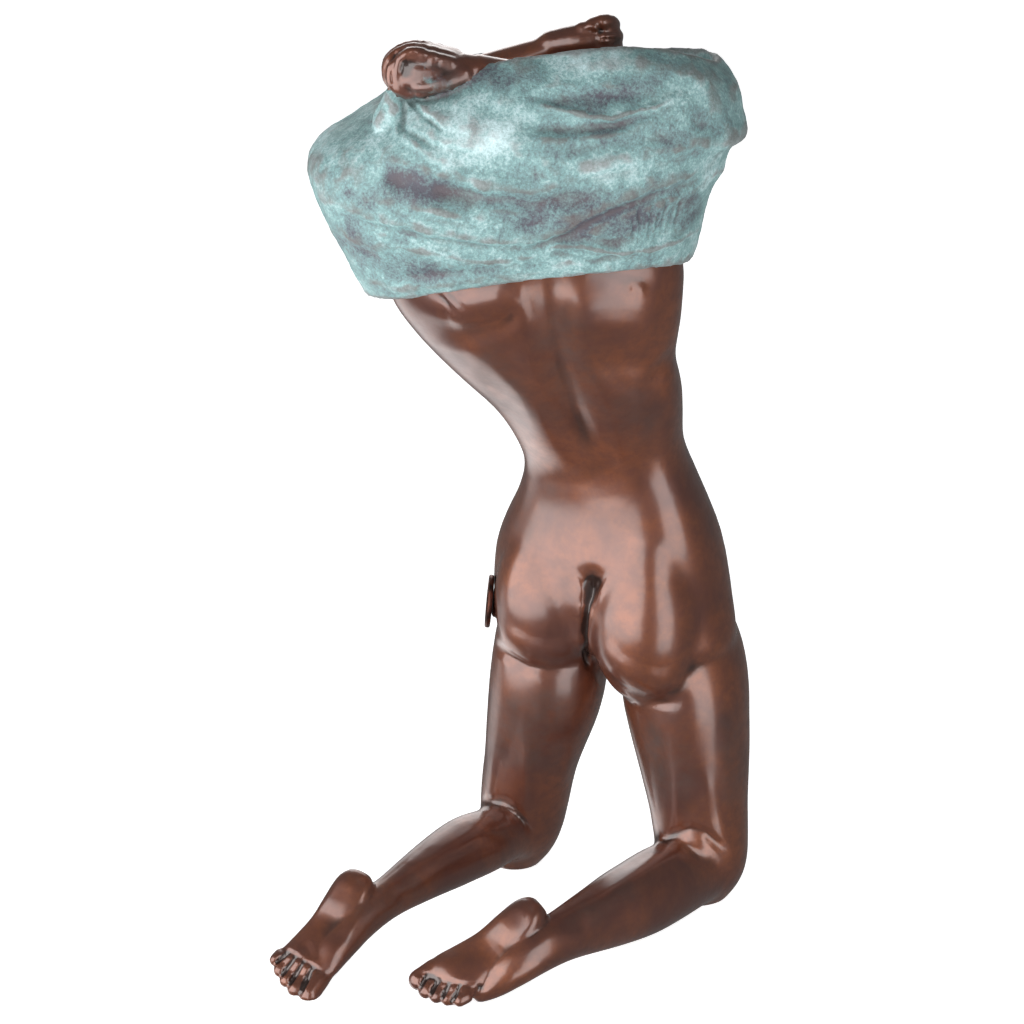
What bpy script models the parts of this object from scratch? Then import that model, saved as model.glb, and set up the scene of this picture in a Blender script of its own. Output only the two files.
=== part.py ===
"""A bronze of a kneeling woman who draws a garment up over her head, with a founder's disc on her hip.

The figure is modelled the way it was sculpted: volumes are built up along the limbs and the trunk,
fused into one skin, eased, and then worked over with strokes that raise or sink the surface.
All of that happens in a pose frame of about 300 units' height: X runs to the right of someone looking at
her back, Y runs away from them and Z is up. The finished skin is then sized and turned, so that
she faces -Y and kneels on z = 0 with the middle of her box over the origin.
"""

import math

import bmesh
import bpy
import numpy as np
from mathutils import Matrix, Vector
from mathutils.bvhtree import BVHTree

# Driving sizes, in metres
FIGURE_HEIGHT = 0.300
GARMENT_WALL = 0.0022
OPENING_DEPTH = 0.016
REST_FLAT_DEPTH = 0.0022
SEAL_DIAMETER = 0.0175
SEAL_THICKNESS = 0.0016
SEAL_RIM_WIDTH = 0.0009
SEAL_RIM_HEIGHT = 0.0003
SEAL_SEAT_DIAMETER = 0.0100
FIT_GAP = 0.0003

# The pose frame
POSE_HEIGHT = 299.0
UNIT = FIGURE_HEIGHT / POSE_HEIGHT
POSE_TURN = math.radians(212.0)
BOX_MIDDLE = Vector((3.6, 1.9))

# How finely the skin is fused and kept, in pose units and triangles
CORE_GRAIN = 1.6
CORE_PASSES = 10
SKIN_GRAIN = 1.0
SKIN_PASSES = 3
FIGURE_TRIANGLES = 9300
RING_SIDES = 40

# Trunk, from the groin up: x, y, z, turn in degrees, half-width, depth behind, depth before
TRUNK = (
    (34.2, 41.0, 87.0, 34.0, 22.0, 12.0, 14.0),
    (34.0, 41.0, 90.5, 34.0, 37.0, 19.0, 19.0),
    (33.6, 41.5, 95.0, 34.0, 43.0, 24.0, 22.0),
    (33.4, 42.0, 102.0, 34.0, 43.0, 26.0, 23.5),
    (32.8, 42.0, 110.0, 33.0, 41.5, 27.0, 25.0),
    (32.4, 42.0, 120.0, 32.0, 39.5, 26.5, 26.0),
    (32.5, 40.0, 130.5, 30.0, 36.0, 23.5, 25.5),
    (32.5, 37.0, 141.0, 28.0, 31.6, 20.5, 23.0),
    (31.0, 34.0, 152.0, 24.0, 28.0, 18.5, 21.0),
    (27.2, 30.0, 163.0, 20.0, 27.4, 18.5, 21.0),
    (23.8, 25.0, 174.0, 15.0, 30.0, 19.5, 22.5),
    (18.8, 19.0, 185.0, 10.0, 34.0, 20.5, 24.5),
    (13.2, 14.0, 196.0, 6.0, 37.2, 21.5, 26.5),
    (10.0, 9.0, 206.5, 3.0, 41.2, 22.0, 27.0),
    (7.6, 5.0, 217.0, 0.0, 44.2, 22.0, 27.0),
    (6.5, 3.0, 229.0, 0.0, 45.0, 21.0, 26.0),
    (8.0, 3.0, 244.0, 0.0, 38.0, 17.0, 21.0),
)
TRUNK_SQUARENESS = 2.25

# Limbs, each station x, y, z, half-width, half-depth
LEFT_THIGH = (
    (16.6, 46.0, 100.0, 18.5, 20.0),
    (13.4, 44.5, 87.0, 18.2, 20.5),
    (12.2, 44.0, 75.0, 18.9, 20.5),
    (10.6, 45.0, 64.0, 18.4, 19.6),
    (8.4, 46.0, 53.0, 16.8, 18.2),
    (6.4, 47.2, 42.0, 15.3, 16.8),
    (4.8, 48.4, 31.0, 15.0, 15.8),
    (3.6, 49.5, 20.0, 14.4, 14.4),
    (2.9, 50.8, 13.0, 12.8, 12.8),
    (1.2, 51.4, 6.0, 10.2, 10.6),
    (-0.2, 51.6, -0.8, 6.6, 7.6),
)
RIGHT_THIGH = (
    (50.0, 33.0, 100.0, 19.0, 21.0),
    (55.4, 31.0, 87.0, 19.4, 21.6),
    (56.6, 30.0, 76.0, 20.6, 21.4),
    (58.0, 29.6, 65.0, 19.8, 20.4),
    (59.4, 29.2, 55.0, 18.7, 19.4),
    (60.6, 28.6, 45.0, 17.4, 18.2),
    (61.7, 27.8, 35.0, 16.1, 17.0),
    (62.6, 26.8, 25.0, 15.7, 15.9),
    (63.2, 26.4, 15.5, 15.0, 14.8),
    (62.6, 26.8, 7.0, 12.0, 12.2),
    (61.8, 27.0, -0.8, 7.0, 8.2),
)
LEFT_SHIN = (
    (4.5, 49.6, 13.4, 10.4, 9.6),
    (-3.0, 39.6, 17.4, 10.6, 9.2),
    (-10.4, 30.0, 19.2, 11.4, 10.4),
    (-15.6, 23.6, 19.9, 11.2, 10.6),
    (-21.7, 15.8, 19.9, 10.2, 10.0),
    (-27.7, 8.2, 19.7, 8.9, 9.1),
    (-33.4, 1.0, 19.2, 7.6, 8.2),
    (-38.6, -5.6, 18.6, 6.8, 7.2),
    (-43.4, -12.0, 18.0, 6.6, 6.8),
    (-49.4, -19.6, 15.4, 6.2, 6.2),
    (-56.4, -28.4, 10.6, 6.2, 5.2),
    (-61.4, -35.0, 6.2, 5.6, 3.8),
)
RIGHT_SHIN = (
    (63.2, 24.8, 14.2, 12.4, 11.4),
    (55.5, 15.6, 14.6, 12.6, 12.4),
    (48.5, 7.2, 15.2, 13.0, 13.0),
    (41.7, -0.8, 15.2, 12.8, 12.8),
    (34.9, -8.6, 15.8, 11.8, 12.2),
    (28.2, -16.4, 16.4, 10.2, 11.1),
    (21.7, -23.8, 17.0, 8.8, 9.8),
    (15.4, -31.0, 17.4, 7.8, 8.6),
    (8.4, -37.4, 16.6, 7.4, 8.0),
    (0.4, -42.4, 13.2, 7.2, 6.8),
    (-6.6, -44.4, 8.8, 6.8, 5.4),
    (-12.6, -44.6, 5.4, 6.2, 3.8),
)
LEG_BACK = Vector((-0.62, -0.78, 0.0))
SHIN_BACK = Vector((0.0, 0.0, 1.0))

# Fuller forms fused onto the core: middle, radii across, deep and high, turn in degrees
BODY_FORMS = (
    ((12.6, 39.4, 103.5), (18.4, 18.8, 27.5), 34.0),
    ((43.8, 21.0, 103.0), (18.4, 19.4, 28.0), 34.0),
    ((38.0, 54.0, 122.0), (21.0, 13.0, 24.0), 32.0),
    ((-7.5, 29.5, 196.0), (14.0, 15.0, 14.5), 8.0),
    ((29.5, 33.0, 197.0), (14.0, 15.0, 14.5), 4.0),
    ((-6.0, 31.5, 193.0), (10.5, 16.5, 10.5), 8.0),
    ((31.0, 35.5, 194.0), (10.5, 16.5, 10.5), 4.0),
)
UPPER_ARMS = (
    ((-32.0, 4.0, 236.0, 10.0, 10.0), (-41.0, 7.0, 247.0, 9.0, 9.0), (-45.0, 8.0, 256.0, 7.5, 7.5)),
    ((43.0, 4.0, 238.0, 10.0, 10.0), (48.0, 7.0, 251.0, 8.5, 9.0), (52.0, 8.0, 262.0, 7.5, 8.0)),
)

# Feet: heel middle, way to the toes, way the sole faces, and which way the big toe lies (-1 or 1)
LEFT_FOOT = (Vector((-50.6, -12.0, 24.6)), Vector((-0.47, -0.66, -0.54)), Vector((-0.15, -0.55, 0.80)), 1)
RIGHT_FOOT = (Vector((4.6, -34.0, 26.2)), Vector((-0.80, -0.37, -0.54)), Vector((-0.30, -0.45, 0.80)), -1)
# Along the foot, half-width, sole side, instep side
FOOT_RINGS = (
    (-5.6, 2.8, 1.6, 3.4),
    (-4.0, 5.0, 3.2, 6.6),
    (0.0, 6.6, 4.2, 10.4),
    (7.5, 6.8, 3.8, 11.6),
    (15.0, 7.0, 2.2, 10.4),
    (22.5, 8.4, 2.6, 8.2),
    (29.5, 9.8, 3.8, 6.0),
    (33.5, 9.6, 3.2, 4.2),
    (35.5, 8.2, 1.8, 2.6),
)
# Toes from the big one: place across, root, tip, radius
TOES = (
    (-6.6, 32.5, 42.0, 3.5),
    (-1.7, 33.5, 41.6, 2.6),
    (2.4, 33.0, 40.0, 2.4),
    (6.0, 32.0, 37.8, 2.3),
    (9.2, 30.5, 35.2, 2.2),
)
TOE_LIFT = 0.9

# Garment, from the hem up: left x, left z, right x, right z, near y, near z, far y, far z
GARMENT = (
    (-44.0, 220.6, 54.4, 231.6, -33.0, 232.5, 37.0, 209.0),
    (-47.4, 227.0, 55.8, 236.5, -35.5, 238.0, 40.0, 216.0),
    (-52.6, 237.0, 57.4, 245.0, -38.0, 246.0, 43.0, 228.0),
    (-57.8, 248.5, 60.0, 253.5, -39.5, 255.0, 44.5, 241.0),
    (-60.8, 258.0, 64.2, 261.0, -39.5, 265.0, 44.5, 254.0),
    (-58.0, 265.0, 68.2, 267.6, -38.0, 275.0, 42.5, 264.0),
    (-48.6, 271.0, 68.0, 276.4, -35.0, 285.0, 38.5, 273.0),
    (-40.6, 276.6, 66.0, 284.0, -30.5, 292.6, 33.0, 281.0),
    (-34.0, 282.0, 61.2, 290.4, -25.0, 297.4, 27.5, 287.0),
)
GARMENT_SQUARENESS = 2.5
NEAR_SLOPE = 0.11
HEM_TURN_IN = 9.0

# Inside the opening: forearms that cross, and the crown of the head between them
FOREARMS = (
    ((-45.0, 9.0, 261.0, 6.8, 6.8), (-24.0, 13.0, 276.6, 6.8, 6.8), (-8.0, 14.0, 283.5, 5.6, 5.4),
        (11.0, 14.0, 290.0, 4.6, 4.2)),
    ((57.0, 7.0, 272.0, 7.5, 7.5), (32.0, -5.0, 279.0, 7.2, 7.0), (10.0, -14.0, 286.0, 5.6, 5.4),
        (-11.0, -19.5, 292.0, 4.8, 4.4)),
)
CROWN = ((14.0, 6.0, 262.0), (15.5, 18.0, 19.0), 10.0)

# Hands as chains of round joints x, y, z, radius
NEAR_HAND = (
    ((-9.0, -19.5, 290.8, 3.9), (-17.0, -18.5, 293.2, 4.4), (-23.0, -18.0, 294.8, 4.4)),
    ((-18.0, -24.0, 294.0, 3.0), (-28.0, -24.6, 297.0, 2.6), (-33.0, -24.6, 294.0, 2.4),
        (-33.6, -24.4, 289.0, 2.3), (-29.6, -24.0, 286.2, 2.2)),
    ((-18.0, -20.6, 294.6, 3.2), (-28.0, -20.6, 297.6, 2.6), (-34.2, -20.6, 294.6, 2.4),
        (-35.0, -20.6, 289.6, 2.3), (-31.0, -20.6, 286.0, 2.2)),
    ((-17.0, -16.6, 294.6, 3.2), (-28.0, -16.6, 297.4, 2.6), (-34.4, -16.8, 294.4, 2.4),
        (-35.2, -16.8, 289.6, 2.3), (-31.4, -17.0, 286.0, 2.2)),
    ((-17.0, -12.8, 294.0, 3.0), (-27.0, -12.8, 296.6, 2.6), (-33.4, -13.0, 293.6, 2.4),
        (-34.4, -13.2, 289.0, 2.3), (-30.6, -13.4, 286.0, 2.2)),
    ((-14.0, -24.0, 291.6, 3.2), (-20.0, -25.4, 289.6, 2.9), (-26.0, -25.8, 287.4, 2.6)),
    ((-21.0, -18.5, 291.5, 4.0), (-27.0, -18.5, 291.5, 4.2)),
)
FAR_HAND = (
    ((10.0, 14.0, 290.4, 4.4), (17.0, 14.0, 292.6, 4.8), (24.0, 14.4, 293.8, 4.6)),
    ((16.0, 12.6, 294.0, 2.8), (26.4, 12.4, 298.6, 2.6), (30.0, 17.0, 297.0, 2.4),
        (28.0, 22.0, 294.0, 2.2)),
    ((17.0, 12.0, 292.2, 2.8), (27.4, 11.6, 294.2, 2.6), (31.0, 16.4, 293.6, 2.4),
        (28.6, 21.6, 291.0, 2.2)),
    ((17.0, 12.0, 290.4, 2.8), (27.4, 11.8, 291.2, 2.5), (31.0, 16.4, 290.4, 2.3),
        (28.4, 21.4, 288.4, 2.1)),
    ((16.0, 12.6, 288.6, 2.8), (26.4, 12.6, 288.2, 2.4), (29.8, 16.8, 287.2, 2.2),
        (27.4, 21.2, 286.0, 2.0)),
)

# Cloth drawn up into the near fist
PINCHED_CLOTH = ((-35.0, -19.0, 276.0, 6.0), (-32.6, -19.5, 283.0, 4.4), (-29.6, -20.0, 288.5, 3.4))

# The disc on the left hip: its middle and the way its face looks
SEAL_MIDDLE = Vector((-7.4, 46.0, 99.5))
SEAL_FACE = Vector((-0.995, 0.0, 0.10))
SEAL_SEAT_ROOT = 12.0

# Strokes over the fused skin: the way the surface they touch looks, width, height, then their points
NEAR_SIDE = (0.0, -1.0, 0.0)
FAR_SIDE = (0.4, 0.92, 0.0)
RIGHT_SIDE = (0.75, -0.66, 0.0)
STROKES = (
    # Spine, small of the back, cleft and its pit
    (NEAR_SIDE, 7.5, -2.4, ((9.8, -18.0, 227.0), (9.2, -15.0, 214.0), (9.6, -11.0, 203.0),
        (13.6, -2.0, 187.0))),
    (NEAR_SIDE, 7.0, -2.2, ((13.6, -2.0, 187.0), (17.5, 6.0, 174.0), (22.6, 14.0, 160.0),
        (24.6, 17.0, 152.0))),
    (NEAR_SIDE, 6.5, -1.1, ((24.6, 17.0, 152.0), (25.6, 18.0, 144.0), (24.6, 19.0, 132.0),
        (24.0, 19.0, 122.0))),
    (NEAR_SIDE, 4.4, -3.6, ((23.8, 19.0, 120.0), (22.2, 17.0, 112.0), (22.0, 17.0, 102.0),
        (22.8, 20.0, 92.0), (25.4, 26.0, 84.0))),
    (NEAR_SIDE, 4.6, -1.4, ((23.8, 19.0, 120.0), (23.2, 18.0, 116.0))),
    # Folds under the buttocks
    (NEAR_SIDE, 3.2, -1.3, ((-4.6, 38.0, 90.0), (1.0, 28.0, 87.0), (10.7, 24.0, 84.5),
        (20.0, 23.0, 86.5), (25.0, 22.0, 89.0))),
    (NEAR_SIDE, 3.2, -1.3, ((25.0, 20.0, 89.0), (31.5, 15.5, 84.0), (41.0, 11.0, 81.5),
        (53.0, 9.0, 82.5))),
    # Muscles beside the spine, shoulder blades and the hollows about them
    (NEAR_SIDE, 5.0, 1.3, ((15.4, -12.0, 208.0), (18.6, -6.0, 197.0), (22.6, 2.0, 183.0),
        (27.0, 10.0, 168.0))),
    (NEAR_SIDE, 5.0, 1.0, ((3.4, -13.0, 208.0), (5.0, -7.0, 195.0), (9.0, 1.0, 183.0),
        (14.0, 9.0, 169.0))),
    (NEAR_SIDE, 5.5, 1.8, ((0.6, -17.0, 224.0), (1.4, -16.0, 216.0), (4.2, -13.0, 207.0))),
    (NEAR_SIDE, 6.5, 2.0, ((-18.0, -12.0, 213.0), (-9.0, -16.0, 216.0), (-1.0, -17.0, 219.0))),
    (NEAR_SIDE, 4.5, -1.2, ((-14.0, -14.0, 222.0), (-6.0, -17.0, 225.0))),
    (NEAR_SIDE, 6.5, 2.0, ((15.6, -17.0, 226.0), (26.0, -17.0, 225.0), (38.0, -13.0, 225.0))),
    (NEAR_SIDE, 4.5, -1.3, ((26.0, -17.0, 232.0), (42.0, -11.0, 232.0))),
    (NEAR_SIDE, 8.0, -0.9, ((25.0, -9.0, 203.0), (37.0, -5.0, 204.0))),
    (RIGHT_SIDE, 5.0, -1.4, ((38.0, -4.0, 201.0), (47.0, 4.0, 203.0), (50.0, 12.0, 204.0))),
    (RIGHT_SIDE, 12.0, 0.7, ((38.0, 4.0, 190.0), (46.0, 16.0, 186.0))),
    (NEAR_SIDE, 5.0, -0.9, ((11.0, 22.0, 150.0), (25.5, 17.0, 149.5), (40.0, 13.0, 152.0))),
    # Front: middle line, arch of the ribs, navel, folds of the groin
    (FAR_SIDE, 5.0, -1.2, ((16.0, 41.0, 190.0), (30.0, 50.0, 168.0), (42.0, 57.0, 146.0))),
    (FAR_SIDE, 5.0, -1.2, ((-2.0, 34.0, 168.0), (8.0, 38.0, 178.0), (17.0, 41.0, 184.0),
        (30.0, 40.0, 179.0), (42.0, 36.0, 170.0))),
    (FAR_SIDE, 3.2, -2.2, ((44.5, 60.0, 137.5), (44.8, 60.0, 135.5))),
    (FAR_SIDE, 4.5, -1.5, ((14.0, 62.0, 108.0), (26.0, 68.0, 96.0), (40.0, 66.0, 84.0))),
    (FAR_SIDE, 4.5, -1.5, ((72.0, 44.0, 108.0), (64.0, 54.0, 96.0), (50.0, 60.0, 84.0))),
    # Garment, near side: creases from the fist, the full bulge, the long overlap and the rolled hem
    (NEAR_SIDE, 4.5, -1.4, ((-30.0, -26.0, 286.0), (-20.5, -32.0, 279.5), (-10.0, -37.0, 269.0))),
    (NEAR_SIDE, 4.5, 1.2, ((-31.5, -26.0, 284.0), (-28.5, -31.0, 275.0), (-25.0, -35.0, 266.0))),
    (NEAR_SIDE, 4.5, -1.1, ((-34.0, -25.0, 284.0), (-36.5, -28.0, 276.0), (-38.5, -31.0, 266.0))),
    (NEAR_SIDE, 10.0, 2.0, ((-14.0, -36.0, 276.0), (2.0, -38.0, 271.0), (22.0, -38.0, 270.0))),
    (NEAR_SIDE, 6.0, -2.4, ((-32.0, -34.0, 264.0), (-19.0, -37.0, 264.5), (-9.0, -39.0, 260.5),
        (7.0, -39.0, 257.5), (18.0, -39.0, 258.5))),
    (NEAR_SIDE, 5.0, 1.2, ((-44.0, -30.0, 257.0), (-26.0, -36.0, 252.5), (-2.0, -38.0, 248.5),
        (14.0, -38.0, 252.0), (28.0, -37.0, 259.0))),
    (NEAR_SIDE, 5.0, 1.2, ((28.0, -37.0, 259.0), (44.0, -33.0, 264.5), (62.0, -21.0, 268.0))),
    (NEAR_SIDE, 3.4, -1.8, ((-45.0, -30.0, 251.5), (-35.0, -34.0, 248.5), (-15.0, -38.0, 245.0),
        (4.0, -38.0, 243.0), (16.0, -38.0, 247.5))),
    (NEAR_SIDE, 3.4, -1.8, ((16.0, -38.0, 247.5), (26.0, -37.0, 253.0), (44.0, -33.0, 259.0),
        (62.0, -21.0, 262.5))),
    (NEAR_SIDE, 3.0, 1.3, ((10.0, -35.0, 285.5), (29.0, -35.0, 282.0), (46.0, -30.0, 287.0))),
    (NEAR_SIDE, 4.0, -1.6, ((13.0, -34.0, 289.0), (24.0, -34.0, 287.5), (36.0, -33.0, 289.0))),
    (NEAR_SIDE, 3.0, 0.9, ((-38.0, -24.0, 225.0), (-20.0, -31.0, 229.0), (4.0, -34.0, 234.0),
        (26.0, -34.0, 238.5), (46.0, -26.0, 238.0))),
    (NEAR_SIDE, 3.0, -1.0, ((-40.0, -26.0, 231.0), (-20.0, -33.0, 235.0), (4.0, -36.0, 239.5),
        (26.0, -36.0, 244.0), (46.0, -28.0, 244.0))),
    # Garment, far side: swags that hang between the elbows
    (FAR_SIDE, 6.0, 1.8, ((-50.0, 24.0, 268.0), (-22.0, 42.0, 254.0), (8.0, 45.0, 249.0),
        (38.0, 42.0, 256.0), (60.0, 26.0, 272.0))),
    (FAR_SIDE, 4.5, -2.0, ((-52.0, 24.0, 261.0), (-24.0, 42.0, 246.0), (8.0, 45.0, 241.0),
        (40.0, 42.0, 249.0), (62.0, 24.0, 265.0))),
    (FAR_SIDE, 5.5, 1.6, ((-50.0, 24.0, 252.0), (-24.0, 42.0, 238.0), (8.0, 45.0, 233.0),
        (40.0, 41.0, 241.0), (60.0, 24.0, 256.0))),
    (FAR_SIDE, 4.0, -1.8, ((-48.0, 26.0, 244.0), (-24.0, 41.0, 230.0), (8.0, 44.0, 225.0),
        (40.0, 40.0, 233.0), (57.0, 24.0, 247.0))),
    (FAR_SIDE, 4.0, -1.6, ((14.0, 32.0, 285.0), (6.0, 40.0, 272.0), (-6.0, 44.0, 260.0))),
    (FAR_SIDE, 4.0, -1.6, ((28.0, 32.0, 285.0), (34.0, 39.0, 273.0), (44.0, 40.0, 264.0))),
)


def station_rings(stations, steps=3):
    """Stations with evenly eased ones between them, on a curve that passes through each."""
    ends = [stations[0], *stations, stations[-1]]
    points = np.array(ends, dtype=float)
    eased = []
    for index in range(1, len(points) - 2):
        before, start, end, after = points[index - 1 : index + 3]
        for step in range(steps):
            t = step / steps
            curve = 2 * start + (end - before) * t
            curve += (2 * before - 5 * start + 4 * end - after) * t**2
            curve += (3 * start - before - 3 * end + after) * t**3
            eased.append(curve / 2)
    eased.append(points[-1])
    return eased


def rounded(value, squareness):
    """A sine or cosine pushed towards a square's."""
    return math.copysign(abs(value) ** (2 / squareness), value)


def loft(bm, rings):
    """A closed tube through rings. Each ring is a function from an angle to a point."""
    loops = []
    for index, place in enumerate(rings):
        is_end = index in (0, len(rings) - 1)
        made = bmesh.ops.create_circle(bm, cap_ends=is_end, segments=RING_SIDES, radius=1.0)
        verts = made["verts"]
        loops.append({edge for vert in verts for edge in vert.link_edges})
        for vert in verts:
            vert.co = place(math.atan2(vert.co.y, vert.co.x))
    for below, above in zip(loops, loops[1:]):
        bmesh.ops.bridge_loops(bm, edges=list(below | above))


def trunk_ring(station):
    x, y, z, turn, half_width, behind, before = station
    turn = math.radians(turn)
    left = Vector((-math.cos(turn), math.sin(turn), 0.0))
    forward = Vector((math.sin(turn), math.cos(turn), 0.0))

    def place(angle):
        across = rounded(math.cos(angle), TRUNK_SQUARENESS) * half_width
        deep = rounded(math.sin(angle), TRUNK_SQUARENESS)
        deep *= before if deep > 0 else behind
        return Vector((x, y, z)) + left * across + forward * deep

    return place


def limb(bm, stations, back):
    """A limb through its stations, each ring square to the way the limb runs."""
    stations = station_rings(stations)
    points = [Vector(station[:3]) for station in stations]
    rings = []
    for index, station in enumerate(stations):
        along = points[min(index + 1, len(points) - 1)] - points[max(index - 1, 0)]
        across = along.cross(back).normalized()
        deep = across.cross(along).normalized()
        rings.append(limb_ring(points[index], across * station[3], deep * station[4]))
    loft(bm, rings)


def limb_ring(middle, across, deep):
    return lambda angle: middle + across * math.cos(angle) + deep * math.sin(angle)


def ball(bm, middle, radii, turn=0.0):
    """An ellipsoid, turned about the vertical."""
    place = Matrix.Translation(middle) @ Matrix.Rotation(-math.radians(turn), 4, "Z")
    place = place @ Matrix.Diagonal((*radii, 1.0))
    bmesh.ops.create_icosphere(bm, subdivisions=4, radius=1.0, matrix=place)


def chain(bm, joints, steps=4):
    """Round joints set so close together that they read as one bent finger or palm."""
    for x, y, z, radius in station_rings(joints, steps):
        ball_at = Matrix.Translation((x, y, z)) @ Matrix.Scale(radius, 4)
        bmesh.ops.create_icosphere(bm, subdivisions=2, radius=1.0, matrix=ball_at)


def foot_axes(foot):
    """Ways along the foot, across it towards the little toe, and out of its sole."""
    heel, along, sole, big_toe_side = foot
    along = along.normalized()
    across = along.cross(sole).normalized() * big_toe_side
    sole = (sole - along * sole.dot(along)).normalized()
    return heel, along, across, sole


def model_foot(bm, foot):
    heel, along, across, sole = foot_axes(foot)
    rings = []
    for reach, half_width, sole_side, instep_side in station_rings(FOOT_RINGS):
        rings.append(foot_ring(heel + along * reach, across * half_width, sole * sole_side, sole * instep_side))
    loft(bm, rings)
    for place, root, tip, radius in TOES:
        toe_root = heel + across * place + along * root
        toe_tip = heel + across * place + along * (tip - radius) + sole * TOE_LIFT
        chain(bm, ((*toe_root, radius), (*toe_tip, radius)), steps=6)


def foot_ring(middle, across, sole_side, instep_side):
    def place(angle):
        deep = math.sin(angle)
        side = sole_side if deep > 0 else instep_side
        return middle + across * rounded(math.cos(angle), 2.3) + side * deep

    return place


def garment_ring(station, inset=0.0, drop=0.0):
    """A ring of the garment, drawn in by inset and lowered by drop."""
    left_x, left_z, right_x, right_z, near_y, near_z, far_y, far_z = station
    middle_x = (left_x + right_x) / 2
    middle_y = (near_y + far_y) / 2
    half_x = (right_x - left_x) / 2 - inset
    half_y = (far_y - near_y) / 2 - inset

    def place(angle):
        c, s = math.cos(angle), math.sin(angle)
        x = middle_x + rounded(c, GARMENT_SQUARENESS) * half_x
        y = middle_y + rounded(s, GARMENT_SQUARENESS) * half_y
        side_z = right_z if c > 0 else left_z
        face_z = near_z + NEAR_SLOPE * (x - middle_x) if s < 0 else far_z
        return Vector((x, y, side_z * c * c + face_z * s * s - drop))

    return place


def model_garment(bm):
    stations = station_rings(GARMENT)
    wall = GARMENT_WALL / UNIT
    depth = OPENING_DEPTH / UNIT
    hem, rim = stations[0], stations[-1]
    rings = [garment_ring(hem, HEM_TURN_IN, -4.0), garment_ring(hem, wall, -0.6)]
    rings += [garment_ring(station) for station in stations]
    rings += [garment_ring(rim, wall / 2, -wall / 3), garment_ring(rim, wall, 0.0)]
    rings += [garment_ring(rim, wall, depth * 0.5), garment_ring(rim, wall + 2.0, depth)]
    loft(bm, rings)
    chain(bm, PINCHED_CLOTH, steps=5)


def model_core(bm):
    """Trunk and limbs, which are eased into each other."""
    loft(bm, [trunk_ring(station) for station in station_rings(TRUNK)])
    limb(bm, LEFT_THIGH, LEG_BACK)
    limb(bm, RIGHT_THIGH, LEG_BACK)
    limb(bm, LEFT_SHIN, SHIN_BACK)
    limb(bm, RIGHT_SHIN, SHIN_BACK)
    for middle, radii, turn in BODY_FORMS:
        ball(bm, middle, radii, turn)
    for upper_arm in UPPER_ARMS:
        limb(bm, upper_arm, SHIN_BACK)


def model_extremities(bm):
    """Feet, hands, forearms and crown, which keep their crisp joints."""
    model_foot(bm, LEFT_FOOT)
    model_foot(bm, RIGHT_FOOT)
    for forearm in FOREARMS:
        limb(bm, forearm, SHIN_BACK)
    for joints in NEAR_HAND + FAR_HAND:
        chain(bm, joints)
    ball(bm, *CROWN)


def seal_axes():
    """Turns +Z to the way the disc's face looks, with the disc's middle at its place."""
    turn = SEAL_FACE.to_track_quat("Z", "Y").to_matrix().to_4x4()
    return Matrix.Translation(SEAL_MIDDLE) @ turn


def model_seal_seat(bm):
    """The stub on the hip that the disc sits on, ending a fit gap short of its back."""
    top = -(SEAL_THICKNESS / 2 + FIT_GAP) / UNIT
    length = SEAL_SEAT_ROOT + top
    place = seal_axes() @ Matrix.Translation((0.0, 0.0, top - length / 2))
    radius = SEAL_SEAT_DIAMETER / UNIT / 2
    bmesh.ops.create_cone(
        bm, cap_ends=True, segments=32, radius1=radius * 1.3, radius2=radius, depth=length, matrix=place
    )


def fused(bm, grain, passes):
    """One skin over all the volumes in bm, eased by a number of passes."""
    mesh = bpy.data.meshes.new("volumes")
    bm.to_mesh(mesh)
    bm.free()
    model = bpy.data.objects.new("volumes", mesh)
    bpy.context.scene.collection.objects.link(model)
    skin = model.modifiers.new("skin", "REMESH")
    skin.mode = "VOXEL"
    skin.voxel_size = grain
    ease = model.modifiers.new("ease", "SMOOTH")
    ease.factor = 0.5
    ease.iterations = passes
    graph = bpy.context.evaluated_depsgraph_get()
    result = bpy.data.meshes.new_from_object(model.evaluated_get(graph))
    bpy.data.objects.remove(model)
    return result


def read_points(mesh, attribute="co"):
    flat = np.empty(len(mesh.vertices) * 3, dtype=np.float32)
    mesh.vertices.foreach_get(attribute, flat)
    return flat.reshape(-1, 3).astype(float)


def write_points(mesh, points):
    mesh.vertices.foreach_set("co", points.astype(np.float32).ravel())
    mesh.update()


def stroke(mesh, looks, width, height, points):
    """Raises or sinks the skin along a path, where it looks the stated way.

    Distance along that way counts for little, so a path need only lie near the surface."""
    looks = np.array(looks) / np.linalg.norm(looks)
    skin = read_points(mesh)
    normals = read_points(mesh, "normal")
    nearest = np.full(len(skin), np.inf)
    path = np.array(points, dtype=float)
    for start, end in zip(path, path[1:]):
        run = end - start
        share = np.clip((skin - start) @ run / (run @ run), 0.0, 1.0)
        gap = skin - start - share[:, None] * run
        gap -= 0.7 * (gap @ looks)[:, None] * looks
        nearest = np.minimum(nearest, np.linalg.norm(gap, axis=1))
    fade = np.clip(1.0 - (nearest / width) ** 2, 0.0, 1.0) ** 2
    fade *= np.clip(normals @ looks * 2.5, 0.0, 1.0)
    write_points(mesh, skin + normals * (fade * height)[:, None])


def thinned(mesh, triangles):
    """The same skin with about the stated number of triangles."""
    model = bpy.data.objects.new("skin", mesh)
    bpy.context.scene.collection.objects.link(model)
    model.modifiers.new("triangles", "TRIANGULATE")
    thin = model.modifiers.new("thin", "DECIMATE")
    thin.ratio = triangles / (2 * len(mesh.polygons))
    graph = bpy.context.evaluated_depsgraph_get()
    result = bpy.data.meshes.new_from_object(model.evaluated_get(graph))
    bpy.data.objects.remove(model)
    return result


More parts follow.
